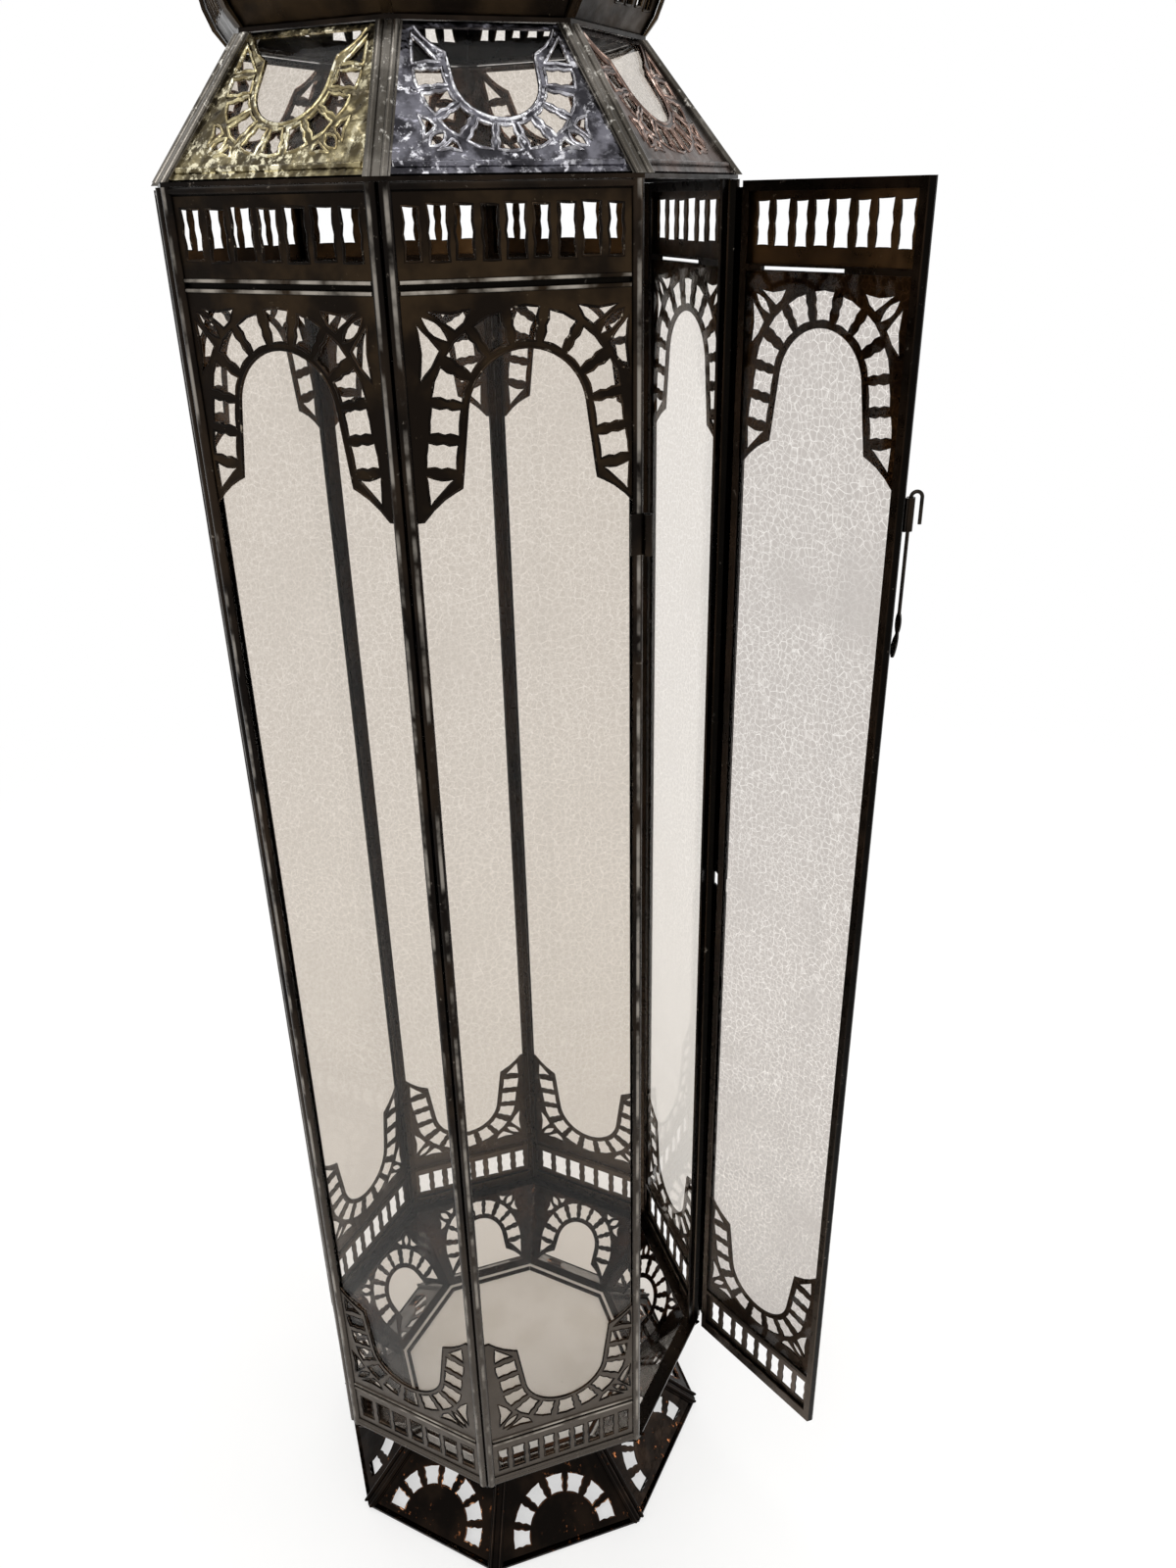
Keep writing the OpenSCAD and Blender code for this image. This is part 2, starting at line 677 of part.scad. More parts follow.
// Folded cap with two rolls along each corner of a section
module ribs(s) {
    f = fold(s);
    up = norm([s[2] - s[0], s[3] - s[1]]);
    turn = atan2(s[2] - s[0], s[3] - s[1]);
    lift = 0.05;
    function at(w, h) = [-abs(w) * sin(f) + h * cos(f), sign(w) * (abs(w) * cos(f) + h * sin(f))];
    for (k = [0 : 7])
        intersection() {
            rotate([0, 0, half + 45 * k])
                translate([s[0], 0, s[1]])
                    rotate([0, turn, 0])
                        translate([0, 0, -10]) linear_extrude(up + 20) {
                            polygon([
                                at(rib_w, lift), [lift / cos(f), 0], at(-rib_w, lift),
                                at(-rib_w, rib_t), [rib_t / cos(f), 0], at(rib_w, rib_t)
                            ]);
                            intersection() {
                                for (e = [-1, 1])
                                    translate(at(e * rib_w * 0.56, rib_t)) circle(r = rib_r, $fn = 32);
                                polygon([
                                    at(2 * rib_w, lift), [lift / cos(f), 0], at(-2 * rib_w, lift),
                                    at(-2 * rib_w, rib_w), [rib_w / cos(f), 0], at(2 * rib_w, rib_w)
                                ]);
                            }
                        }
            translate([0, 0, s[1] + seat_gap]) cylinder(h = s[3] - s[1] - 2 * seat_gap, r = far);
        }
}

module taper_frets() {
    color([0.3, 0.25, 0.2])
        for (k = [0 : 7])
            at_slope(k, taper_sec) translate([0, slope(taper_sec), 0])
                slope_fret(taper_sec, taper_cut, arch_drift[k] * 0.5);
}

module taper_glass() {
    color([0.86, 0.85, 0.82, 0.4])
        for (k = [0 : 7])
            at_slope(k, taper_sec) translate([0, slope(taper_sec), 0]) slope_pane(taper_sec);
}

module taper_ribs() {
    color([0.2, 0.17, 0.15]) ribs(taper_sec);
}

module shoulder_side(k) {
    color([0.62, 0.58, 0.52])
        at_slope(k, shoulder_sec) mirror([0, 1, 0])
            slope_fret(shoulder_sec, shoulder_cut, arch_drift[k] * 0.5);
}

module shoulder_glass() {
    color([0.86, 0.85, 0.82, 0.4])
        for (k = [0 : 7]) at_slope(k, shoulder_sec) mirror([0, 1, 0]) slope_pane(shoulder_sec);
}

module shoulder_ribs() {
    color([0.5, 0.46, 0.4]) ribs(shoulder_sec);
}

module shoulder_top_ring() {
    color([0.2, 0.18, 0.15])
        translate([0, 0, z_shoulder + shoulder_h])
            octagon_ring(shoulder_r + 1.5, shoulder_r - 12, ring_t - seat_gap);
}

// ---- floor and foot ----------------------------------------------------------------------------

module floor_plate() {
    color([0.84, 0.82, 0.78])
        translate([0, 0, foot_h]) linear_extrude(floor_t - seat_gap) octagon(floor_r + 1.5);
}

module floor_rail() {
    clear = (sheet_t + glass_t + 2 * seat_gap) / cos(lean(taper_sec)) / ch;
    r = floor_r - clear - 0.3;
    color([0.3, 0.27, 0.22])
        for (k = [0 : 7])
            intersection() {
                translate([0, 0, z_floor]) octagon_ring(r, r - floor_rail_w, floor_rail_h);
                wedge(k, 0.2, z_floor + floor_rail_h);
            }
}

// Foot panel standing on its wide edge, with a ring of stones round a plain half disc
module foot_panel(k) {
    s = foot_sec;
    y0 = wide_room(s, sheet_t);
    y1 = slope(s) - seat_gap;
    gap = corner_room(s, sheet_t);
    rise = y0 + foot_rise;
    r = slope(s) - rise - foot_top - foot_stone;
    layer(0, sheet_t) difference() {
        polygon([
            [gap - half_at(s, y0), y0], [half_at(s, y0) - gap, y0],
            [half_at(s, y1) - gap, y1], [gap - half_at(s, y1), y1]
        ]);
        translate([0, rise]) for (i = [0 : foot_n - 1]) {
            step = 162 / (foot_n - 1);
            a = 9 + i * step + wob(i + k, 0.8);
            w = step * PI / 180 * r * 0.37;
            rotate(a)
                polygon(concat(
                    [for (q = notches) [r + q[0] * foot_stone, -w * (1 + q[0] * 0.42) + notch * q[1]]],
                    [[r + foot_stone + 0.6, 0]],
                    [for (q = back(notches)) [r + q[0] * foot_stone, w * (1 + q[0] * 0.42) - notch * q[1]]],
                    [[r + 0.5, 0]]
                ));
        }
    }
}

module foot_panels() {
    color([0.14, 0.1, 0.07]) for (k = [0 : 7]) at_slope(k, foot_sec) foot_panel(k);
}

module foot_ribs() {
    color([0.18, 0.14, 0.1]) ribs(foot_sec);
}

module foot_rim() {
    color([0.16, 0.12, 0.09]) {
        octagon_ring(foot_r, foot_r - rim_w, rim_h - seat_gap);
        translate([0, 0, rim_h * 0.25]) octagon_ring(foot_r + 1, foot_r - 1, rim_h * 0.5);
    }
}

// ---- dome and carrying ring ----------------------------------------------------------------------

// The bulge is an arc through the dome's foot, and the sweep is a hollow arc that carries it on
// to the dome's top; bulge_end is the angle at which the two arcs meet
dome_r = shoulder_r + dome_swell;
bulge_arc = (dome_swell * dome_swell + dome_bulge_z * dome_bulge_z) / 2 / dome_swell;
bulge_x = dome_r - bulge_arc;
bulge_start = -asin(dome_bulge_z / bulge_arc);
sweep_end = 200;
sweep_x = dome_top_r - dome_sweep * cos(sweep_end);
bulge_end = acos((sweep_x - bulge_x) / (bulge_arc + dome_sweep));
sweep_z = dome_bulge_z + (bulge_arc + dome_sweep) * sin(bulge_end);

// Dome outline at the corners, moved outwards by d: [radius, height]
function dome_line(d) = concat(
    [
        for (i = [0 : 10])
            let (t = bulge_start + (bulge_end - bulge_start) * i / 10)
            [bulge_x + (bulge_arc + d) * cos(t), dome_bulge_z + (bulge_arc + d) * sin(t)]
    ],
    [
        for (i = [1 : 8])
            let (t = 180 + bulge_end - (bulge_end - sweep_end + 180) * i / 8)
            [sweep_x + (dome_sweep - d) * cos(t), sweep_z + (dome_sweep - d) * sin(t)]
    ]
);
// The same line kept between the dome's foot and just over its top
function level(line) = [for (p = line) [p[0], min(max(0, p[1]), dome_h + 0.1)]];
dome_h = sweep_z + dome_sweep * sin(sweep_end);

module dome_strip(d0, d1, w, shrink) {
    a = level(dome_line(d0));
    b = level(dome_line(d1));
    rotate([90, 0, 0])
        linear_extrude(w, center = true)
            polygon([for (p = concat(a, back(b))) [p[0] * shrink, p[1]]]);
}

// The slots are cut from this far inside the dome's foot
dome_slot_in = 12;

module dome_gores() {
    win_w = 2 * ((shoulder_r + dome_swell * 0.6) * sh - 8);
    color([0.17, 0.14, 0.12])
        for (k = [0 : 7])
            difference() {
                intersection() {
                    translate([0, 0, z_dome]) rotate([0, 0, az(k)]) dome_strip(0, -sheet_t, 2 * dome_r, ch);
                    wedge(k, 0.2, z_dome + dome_h + 10);
                }
                translate([0, 0, z_dome + dome_slot_z]) at_face(k, shoulder_r - dome_slot_in)
                    linear_extrude(dome_slot_in + 2 * dome_swell) slots(dome_slots, win_w, slot_h, slot_bar, k * 7);
            }
}

module dome_ribs() {
    color([0.3, 0.26, 0.2])
        for (k = [0 : 7])
            translate([0, 0, z_dome]) rotate([0, 0, half + 45 * k]) dome_strip(2.2, 0.25, 5, 1);
}

z_cap = z_dome + dome_h + 0.4;
cap_t = 2.5;
cap_r = dome_top_r + 3;
z_neck = z_cap + cap_t;
z_ball = z_neck + neck_h + ball_r * 0.85;
z_eye = z_ball + ball_r + eye_r + 1;

module dome_cap() {
    color([0.4, 0.34, 0.24])
        rotate_extrude($fn = 64)
            polygon(concat(
                [[0, z_cap], [cap_r, z_cap], [cap_r, z_neck]],
                [
                    for (i = [0 : 8])
                        let (t = i / 8)
                        [neck_r * 0.72 + neck_r * 0.9 * pow(1 - t, 2), z_neck + neck_h * t]
                ],
                [[0, z_neck + neck_h]]
            ));
}

module finial() {
    foot = z_neck + neck_h + seat_gap;
    color([0.45, 0.38, 0.26])
        difference() {
            union() {
                translate([0, 0, foot]) cylinder(h = 2, r = neck_r * 0.9, $fn = 48);
                translate([0, 0, z_ball]) sphere(r = ball_r, $fn = 48);
            }
            translate([0, 0, foot - 20]) cylinder(h = 20, r = far);
            translate([0, 0, z_ball + ball_r * 0.94]) cylinder(h = 20, r = far);
        }
}

carry_bore = carry_wire + 0.5;

module ring_eye() {
    stem = z_ball + ball_r * 0.94 + seat_gap;
    color([0.45, 0.38, 0.26])
        difference() {
            union() {
                translate([0, 0, stem]) cylinder(h = 2, r = 5, $fn = 48);
                translate([-3, -eye_t / 2, stem]) cube([6, eye_t, z_eye - stem]);
                translate([0, 0, z_eye]) rotate([90, 0, 0])
                    cylinder(h = eye_t, r = eye_r, center = true, $fn = 48);
            }
            translate([0, 0, z_eye]) rotate([90, 0, 0])
                cylinder(h = eye_t + 2, r = carry_bore, center = true, $fn = 48);
        }
}

module carry_ring() {
    color([0.2, 0.17, 0.14])
        translate([0, 0, z_eye])
            rotate([0, carry_lean, 0])
                translate([0, 0, carry_r])
                    rotate([0, 90, 0])
                        rotate_extrude($fn = 96) translate([carry_r, 0]) circle(r = carry_wire, $fn = 32);
}

// ---- door ------------------------------------------------------------------------------------------

module door_pose() {
    translate(hinge_pos) rotate([0, 0, door_open]) translate(-hinge_pos) children();
}

// The door's own side of the lantern, opened
module on_door() {
    door_pose() translate([0, 0, z_door]) at_face(door_side, body_r) children();
}

module door_frame() {
    color([0.16, 0.14, 0.12]) on_door() frame(door_side);
}

module door_fret() {
    color([0.2, 0.17, 0.14]) on_door() fret(door_side);
}

module door_glass() {
    color([0.86, 0.85, 0.82, 0.4]) on_door() pane(door_side);
}

// Each hinge has three knuckles, the middle one on the door; its height is taken at that one's foot
knuckle_l = (door_h / 2 - hinge_in - hinge_mid / 2 - 2 * knuckle_gap) / 3;
step_z = knuckle_l + knuckle_gap;
hinge_run = 3 * knuckle_l + 2 * knuckle_gap;
hinge_z = [z_door + hinge_in + step_z, z_door + door_h - hinge_in - step_z - knuckle_l];
// The hinge axis beside the corner: along the side, and outwards
axis_x = side(body_r) / 2 + hinge_out * sh;
axis_y = hinge_out * ch;

// A rolled knuckle and its wrap, in a side's own plane with the hinge at +x
module knuckle(reach) {
    rotate([-90, 0, 0])
        difference() {
            linear_extrude(knuckle_l) {
                translate([axis_x, -axis_y]) circle(r = knuckle_r, $fn = round_fn);
                translate([axis_x - reach, -leaf_t - 0.05]) square([reach, leaf_t]);
            }
            translate([axis_x, -axis_y, -1])
                cylinder(h = knuckle_l + 2, r = pin_r + pin_gap, $fn = round_fn);
        }
}

// Leaf beside the knuckles, along the whole hinge
module leaf(reach) {
    translate([axis_x - reach, -step_z, 0.05]) cube([reach - knuckle_r, hinge_run, leaf_t]);
}
leaf_reach = hinge_out * sh + stile_gap + stile_r + 1;

module door_knuckles() {
    color([0.18, 0.15, 0.12])
        door_pose() at_face(door_side, body_r)
            for (z = hinge_z)
                translate([0, z, 0]) {
                    knuckle(leaf_reach + door_gap);
                    leaf(leaf_reach + door_gap);
                }
}

module post_knuckles() {
    color([0.18, 0.15, 0.12])
        at_face(door_side + 1, body_r)
            for (z = hinge_z)
                translate([0, z, 0]) mirror([1, 0, 0]) {
                    for (e = [-1, 1]) translate([0, e * step_z, 0]) knuckle(leaf_reach);
                    leaf(leaf_reach);
                }
}

module hinge_pins() {
    head = 0.8;
    color([0.35, 0.32, 0.28])
        for (z = hinge_z)
            translate([hinge_pos[0], hinge_pos[1], z - step_z]) {
                translate([0, 0, -head - 0.1]) cylinder(h = hinge_run + 2 * head + 0.2, r = pin_r, $fn = round_fn);
                translate([0, 0, -head - 0.1]) cylinder(h = head, r = pin_r + 0.7, $fn = round_fn);
                translate([0, 0, hinge_run + 0.1]) cylinder(h = head, r = pin_r + 0.7, $fn = round_fn);
            }
}

// Places of the bolt's two sleeves beside their corner: along the side, and outwards
door_stile = stile_gap + door_gap + stile_r;
sleeve_r = bolt_r + bolt_gap + sleeve_wall;
latch_at = [latch_side, latch_out];
keeper_at = [-0.4, 3];
keeper_reach = 8.5;
// The same places seen along the corner, and the way from one to the other when the door is shut
latch_pt = latch_at[0] * [ch, -sh] + latch_at[1] * [sh, ch];
keeper_pt = keeper_at[0] * [ch, sh] + keeper_at[1] * [-sh, ch];
bolt_span = norm(latch_pt - keeper_pt);
latch_dir = atan2(keeper_pt[1] - latch_pt[1], keeper_pt[0] - latch_pt[0]) + half;
latch_top = door_h - latch_in;

// Upright extrusion of an outline drawn along the side and outwards
module upright(l) {
    rotate([-90, 0, 0]) mirror([0, 1, 0]) linear_extrude(l) children();
}

// Rolled eye on a standing leaf, whose foot lies along the crown of the door's stile
module latch_sleeve() {
    foot_l = door_stile + 3 - latch_at[0];
    color([0.12, 0.1, 0.09])
        on_door() translate([-side(body_r) / 2, latch_top - sleeve_l, 0])
            upright(sleeve_l) difference() {
                union() {
                    translate(latch_at) circle(r = sleeve_r, $fn = round_fn);
                    translate([latch_at[0] - leaf_t / 2, 0.05]) square([leaf_t, latch_at[1]]);
                    translate([latch_at[0] - leaf_t / 2, 0.05]) square([foot_l, leaf_t]);
                }
                translate(latch_at) circle(r = bolt_r + bolt_gap, $fn = round_fn);
            }
}

module keeper_sleeve() {
    z = z_door + latch_top - keeper_drop - keeper_l;
    color([0.22, 0.19, 0.15])
        at_face(door_side - 1, body_r) translate([side(body_r) / 2, z, 0])
            upright(keeper_l) difference() {
                union() {
                    translate(keeper_at) circle(r = sleeve_r, $fn = round_fn);
                    translate([keeper_at[0] - keeper_reach, 0.05]) square([keeper_reach, leaf_t]);
                }
                translate(keeper_at) circle(r = bolt_r + bolt_gap, $fn = round_fn);
            }
}

// Wire bolt: a shank through the sleeve, a bent-over leg and a thumb end beaten flat in two lobes
paddle_l = 26;
paddle_t = 1.2;
// Share of the thumb end that the lower lobe takes, and how far it stands aside
waist = 0.54;
lobe_off = 1.6;
function lobe_run(t) = t < waist ? t / waist : (t - waist) / (1 - waist);
function lobe(t) = 0.6 + 1.1 * pow(max(0, sin(180 * lobe_run(t))), 0.7);
function lobe_x(t) = t < waist ? lobe_off * cos(90 * lobe_run(t)) : 0;

module drop_bolt() {
    shank = sleeve_l + bolt_l - paddle_l;
    steps = [0 : 0.05 : 1];
    color([0.14, 0.12, 0.1])
        on_door() translate([latch_at[0] - side(body_r) / 2, latch_top, latch_at[1]])
            rotate([-90, 0, 0]) {
                translate([0, 0, -shank - 0.8]) cylinder(h = shank + 0.8, r = bolt_r, $fn = 32);
                rotate([0, 0, bolt_turn - latch_dir]) {
                    translate([bolt_span / 2, 0, 0]) rotate([90, 0, 0])
                        rotate_extrude(angle = 180, $fn = 64)
                            translate([bolt_span / 2, 0]) circle(r = bolt_r, $fn = 32);
                    translate([bolt_span, 0, -bolt_leg]) cylinder(h = bolt_leg, r = bolt_r, $fn = 32);
                }
                translate([0, paddle_t / 2, -shank - paddle_l]) rotate([90, 0, 0])
                    linear_extrude(paddle_t)
                        polygon(concat(
                            [for (t = steps) [lobe_x(t) - lobe(t), paddle_l * t]],
                            back([for (t = steps) [lobe_x(t) + lobe(t), paddle_l * t]])
                        ));
            }
}

// ---- nodes -------------------------------------------------------------------------------------------

foot_rim();
foot_panels();
foot_ribs();
floor_plate();
floor_rail();
taper_frets();
taper_glass();
taper_ribs();
body_bottom_ring();
doorway_jambs();
side_frame(0);  // frame_left
side_frame(1);  // frame_front_left
side_frame(3);  // frame_front_right
side_frame(4);  // frame_right
side_frame(5);  // frame_back_right
side_frame(6);  // frame_back
side_frame(7);  // frame_back_left
side_fret(0);  // fret_left
side_fret(1);  // fret_front_left
side_fret(3);  // fret_front_right
side_fret(4);  // fret_right
side_fret(5);  // fret_back_right
side_fret(6);  // fret_back
side_fret(7);  // fret_back_left
side_glass(0);  // glass_left
side_glass(1);  // glass_front_left
side_glass(3);  // glass_front_right
side_glass(4);  // glass_right
side_glass(5);  // glass_back_right
side_glass(6);  // glass_back
side_glass(7);  // glass_back_left
body_top_ring();
shoulder_side(0);  // shoulder_left
shoulder_side(1);  // shoulder_front_left
shoulder_side(2);  // shoulder_front
shoulder_side(3);  // shoulder_front_right
shoulder_side(4);  // shoulder_right
shoulder_side(5);  // shoulder_back_right
shoulder_side(6);  // shoulder_back
shoulder_side(7);  // shoulder_back_left
shoulder_glass();
shoulder_ribs();
shoulder_top_ring();
dome_gores();
dome_ribs();
dome_cap();
finial();
ring_eye();
carry_ring();
door_frame();
door_fret();
door_glass();
door_knuckles();
latch_sleeve();
post_knuckles();
hinge_pins();
keeper_sleeve();
drop_bolt();
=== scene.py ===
import json
import math

import bmesh
import bpy
from bpy.props import (
    FloatProperty, FloatVectorProperty, IntProperty, PointerProperty, StringProperty)
from mathutils import Matrix, Vector


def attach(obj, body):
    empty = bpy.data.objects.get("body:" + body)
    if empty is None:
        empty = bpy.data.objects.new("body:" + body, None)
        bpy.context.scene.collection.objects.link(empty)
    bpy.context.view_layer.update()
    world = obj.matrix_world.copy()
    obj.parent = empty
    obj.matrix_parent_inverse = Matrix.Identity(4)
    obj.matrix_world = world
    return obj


bl_info = {
    "name": "Pierced sheet lantern",
    "version": (1, 0, 0),
    "blender": (4, 5, 0),
    "location": "View3D > Sidebar > Lantern",
    "description": "Dresses an eight-sided candle lantern of pierced sheet metal and glass",
    "category": "Object",
}

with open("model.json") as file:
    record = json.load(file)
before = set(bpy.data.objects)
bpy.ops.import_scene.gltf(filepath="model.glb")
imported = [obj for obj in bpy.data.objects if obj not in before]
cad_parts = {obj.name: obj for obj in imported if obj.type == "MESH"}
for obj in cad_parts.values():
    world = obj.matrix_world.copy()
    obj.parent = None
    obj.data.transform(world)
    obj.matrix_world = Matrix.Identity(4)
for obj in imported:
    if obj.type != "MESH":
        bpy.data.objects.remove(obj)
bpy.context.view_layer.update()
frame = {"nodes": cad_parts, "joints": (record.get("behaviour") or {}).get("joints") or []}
NODES = frame["nodes"]
MM = 0.001

SIDES = ["left", "front_left", "front", "front_right", "right", "back_right", "back", "back_left"]
SIDE_STEP = 360 / len(SIDES)
SIDE_TURN = {name: math.radians(SIDE_STEP * k - 180) for k, name in enumerate(SIDES)}
# Distance of the body's faces from the lantern's axis
BODY_FACE = max(abs(v.co.x) for v in NODES["frame_left"].data.vertices)


# ---- colours and nodes ---------------------------------------------------------------------


def linear(hex_colour, alpha=None):
    """Linear values of an sRGB colour written as six hex digits."""
    parts = [int(hex_colour[i:i + 2], 16) / 255 for i in (0, 2, 4)]
    values = [c / 12.92 if c <= 0.04045 else ((c + 0.055) / 1.055) ** 2.4 for c in parts]
    return (*values, alpha) if alpha is not None else tuple(values)


def add(tree, kind, inputs=None, **settings):
    """Adds a node; an input given as a socket is linked, any other value is set."""
    node = tree.nodes.new(kind)
    for name, value in settings.items():
        setattr(node, name, value)
    for key, value in (inputs or {}).items():
        if isinstance(value, bpy.types.NodeSocket):
            tree.links.new(value, node.inputs[key])
        else:
            node.inputs[key].default_value = value
    return node


def per_mm(size):
    """Scale of a pattern on Object coordinates whose grain is size millimetres wide."""
    return 1 / (size * MM)


def new_material(name):
    """Empty material with its output node."""
    material = bpy.data.materials.new(name)
    material.use_nodes = True
    material.node_tree.nodes.clear()
    return material, add(material.node_tree, "ShaderNodeOutputMaterial")


def noise(tree, coord, size, detail=3.0, rough=0.55):
    """Cloudy pattern with grains size millimetres wide, from 0 to 1."""
    settings = {"Vector": coord, "Scale": per_mm(size), "Detail": detail, "Roughness": rough}
    return add(tree, "ShaderNodeTexNoise", settings).outputs["Fac"]


def ramp(tree, value, low, high):
    """0 below low, 1 above high and smooth between them."""
    settings = {"Value": value, "From Min": low, "From Max": high}
    return add(tree, "ShaderNodeMapRange", settings, interpolation_type="SMOOTHSTEP").outputs[0]


def math_node(tree, operation, a, b):
    """Arithmetic on two values."""
    return add(tree, "ShaderNodeMath", {0: a, 1: b}, operation=operation).outputs[0]


def blend_colour(tree, factor, a, b):
    """Colour a where factor is 0 and b where it is 1."""
    return add(tree, "ShaderNodeMix", {"Factor": factor, 6: a, 7: b}, data_type="RGBA").outputs[2]


# ---- materials ---------------------------------------------------------------------------------


def door_open():
    """Degrees by which the door stands open at rest, from the end of its joint's range."""
    return next(-j["range_deg"][0] for j in frame["joints"] if j["name"] == "door_hinge")


def outward(turn, lean=0.0):
    """Direction in which a plate looks: turned about the lantern's axis and leaning back."""
    return Vector((math.cos(turn) * math.cos(lean), math.sin(turn) * math.cos(lean), math.sin(lean)))


def depth_behind_body(tree, coord):
    """Depth of a point behind the nearest of the body's eight faces, in metres."""
    parts = add(tree, "ShaderNodeSeparateXYZ", {0: coord}).outputs
    x = math_node(tree, "ABSOLUTE", parts["X"], 0.0)
    y = math_node(tree, "ABSOLUTE", parts["Y"], 0.0)
    slanted = math_node(tree, "MULTIPLY", math_node(tree, "ADD", x, y), math.sqrt(0.5))
    far = math_node(tree, "MAXIMUM", math_node(tree, "MAXIMUM", x, y), slanted)
    return math_node(tree, "SUBTRACT", BODY_FACE, far)


def depth_behind_door(tree, coord):
    """Depth of a point behind the face of the open door, in metres."""
    normal = outward(SIDE_TURN["front"] + math.radians(door_open()))
    face = max(v.co.dot(normal) for v in NODES["door_frame"].data.vertices)
    across = add(tree, "ShaderNodeVectorMath", {0: coord, 1: tuple(normal)},
                 operation="DOT_PRODUCT").outputs["Value"]
    return math_node(tree, "SUBTRACT", face, across)


# Heights in metres from which a painted reflection of the bright floor begins low on the lantern and
# below which it is full
REFLECTION_TOP, REFLECTION_BOTTOM = 0.62, 0.3
# How far the painted reflection's upper border goes up and down, in metres
REFLECTION_BORDER = 0.25
# Depth of a plate's outer face and of its inner face behind the body's face
OUTER_MM, INNER_MM = 2.7, 3.2


def height_of(tree, coord):
    """Height of a point above the ground, in metres."""
    return add(tree, "ShaderNodeSeparateXYZ", {0: coord}).outputs["Z"]


def floor_reflection_low(tree, coord):
    """1 near the ground, where painted light stands in for the reflection of the bright floor, and 0 from
    the lantern's middle up.
    """
    uneven = math_node(tree, "MULTIPLY", noise(tree, coord, 90), REFLECTION_BORDER)
    height = math_node(tree, "ADD", height_of(tree, coord), uneven)
    return ramp(tree, height, REFLECTION_TOP, REFLECTION_BOTTOM)


def shade_browning_and_highlights(tree, coord, colour, look, depth):
    """Painted shade in the crevices, a side browned by the candles, and painted highlights on the rolls
    and hems, by depth.

    Near the ground the browned side turns lighter: a painted haze for the panes' reflection of the
    bright floor.
    """
    # Painted shade: darker colour in the crevices, by depth
    crevice_shade_mask = ramp(tree, depth, *(d * MM for d in look["crevice_shade_mm"]))
    colour = blend_colour(tree, crevice_shade_mask, colour, linear(look["soot"], 1))
    inside = ramp(tree, depth, *(d * MM for d in look["inside_mm"]))
    browned = ramp(tree, noise(tree, coord, 45, 3), 0.3, 0.7)
    brown = blend_colour(tree, browned, linear(look["inside"][0], 1), linear(look["inside"][1], 1))
    # Painted haze: the browned side turns lighter towards the ground, for the panes' reflection of the
    # floor
    brown = blend_colour(tree, floor_reflection_low(tree, coord), brown, linear(look["reflected_haze"], 1))
    colour = blend_colour(tree, inside, colour, brown)
    # Painted highlight: lighter colour on the crests of the rolls and hems, broken into patches
    crest_highlight = ramp(tree, depth, look["crest_highlight_mm"][1] * MM, look["crest_highlight_mm"][0] * MM)
    highlight_patches = ramp(tree, noise(tree, coord, 22, 4), 0.4, 0.64)
    return blend_colour(tree, math_node(tree, "MULTIPLY", crest_highlight, highlight_patches), colour, linear(look["crest_highlight"], 1))


def painted_floor_reflection(tree, coord, colour, look, depth):
    """Greys the outer face of the body towards the ground: a painted reflection of the bright floor."""
    outer = ramp(tree, depth, INNER_MM * MM, OUTER_MM * MM)
    reflected_mask = math_node(tree, "MULTIPLY", floor_reflection_low(tree, coord), outer)
    return blend_colour(tree, reflected_mask, colour, linear(look["low"], 1))


def aged_metal(name, look, place=None):
    """Lacquered sheet metal: cloudy patina over the ground colour, rubbed through in small spots.

    The dark lacquer keeps the metal from mirroring brightly, the patina gives it warm clouds,
    and the spots where it is rubbed through catch the light; on the foot and the shoulder's curled
    edges these spots are painted glints. On the body and the door the crevices get painted shade and
    the rolls and hems a painted highlight; low on the body's outer face a painted reflection of the
    bright floor greys the colour.
    """
    material, output = new_material(name)
    tree = material.node_tree
    coord = add(tree, "ShaderNodeTexCoord").outputs["Object"]
    clouds = ramp(tree, noise(tree, coord, look["cloud_mm"], 4), 0.42, 0.66)
    colour = blend_colour(tree, clouds, linear(look["ground"], 1), linear(look["patina"], 1))
    if place == "body":
        depth = depth_behind_body(tree, coord)
        # Painted reflection of the bright floor, greying the lower outer face
        colour = painted_floor_reflection(tree, coord, colour, look, depth)
        colour = shade_browning_and_highlights(tree, coord, colour, look, depth)
    if place == "door":
        colour = shade_browning_and_highlights(tree, coord, colour, look, depth_behind_door(tree, coord))
    # Rubbed spots: wear on most metals, painted glints on the foot and the shoulder's curled edges
    spots = ramp(tree, noise(tree, coord, look["spot_mm"], 5, 0.65), look["rub"], look["rub"] + 0.1)
    patches = ramp(tree, noise(tree, coord, 38, 2), 0.4, 0.6)
    rubbed = math_node(tree, "MULTIPLY", spots, patches)
    colour = blend_colour(tree, rubbed, colour, linear(look["bare_and_glint"], 1))
    gloss = ramp(tree, noise(tree, coord, 9, 4), 0.3, 0.7)
    rough = add(tree, "ShaderNodeMapRange", {
        "Value": gloss, "To Min": look["rough"][0], "To Max": look["rough"][1]}).outputs[0]
    waves = add(tree, "ShaderNodeBump", {
        "Height": noise(tree, coord, look["wave_mm"], 2, 0.4),
        "Distance": look["relief_mm"] * MM, "Strength": 1.0}).outputs[0]
    grain = add(tree, "ShaderNodeBump", {
        "Height": noise(tree, coord, 1.4, 4), "Distance": 0.05 * MM, "Strength": 0.8,
        "Normal": waves}).outputs[0]
    metal = add(tree, "ShaderNodeBsdfPrincipled", {
        "Base Color": colour, "Metallic": look["metallic"], "Roughness": rough, "Normal": grain})
    tree.links.new(metal.outputs[0], output.inputs[0])
    return material


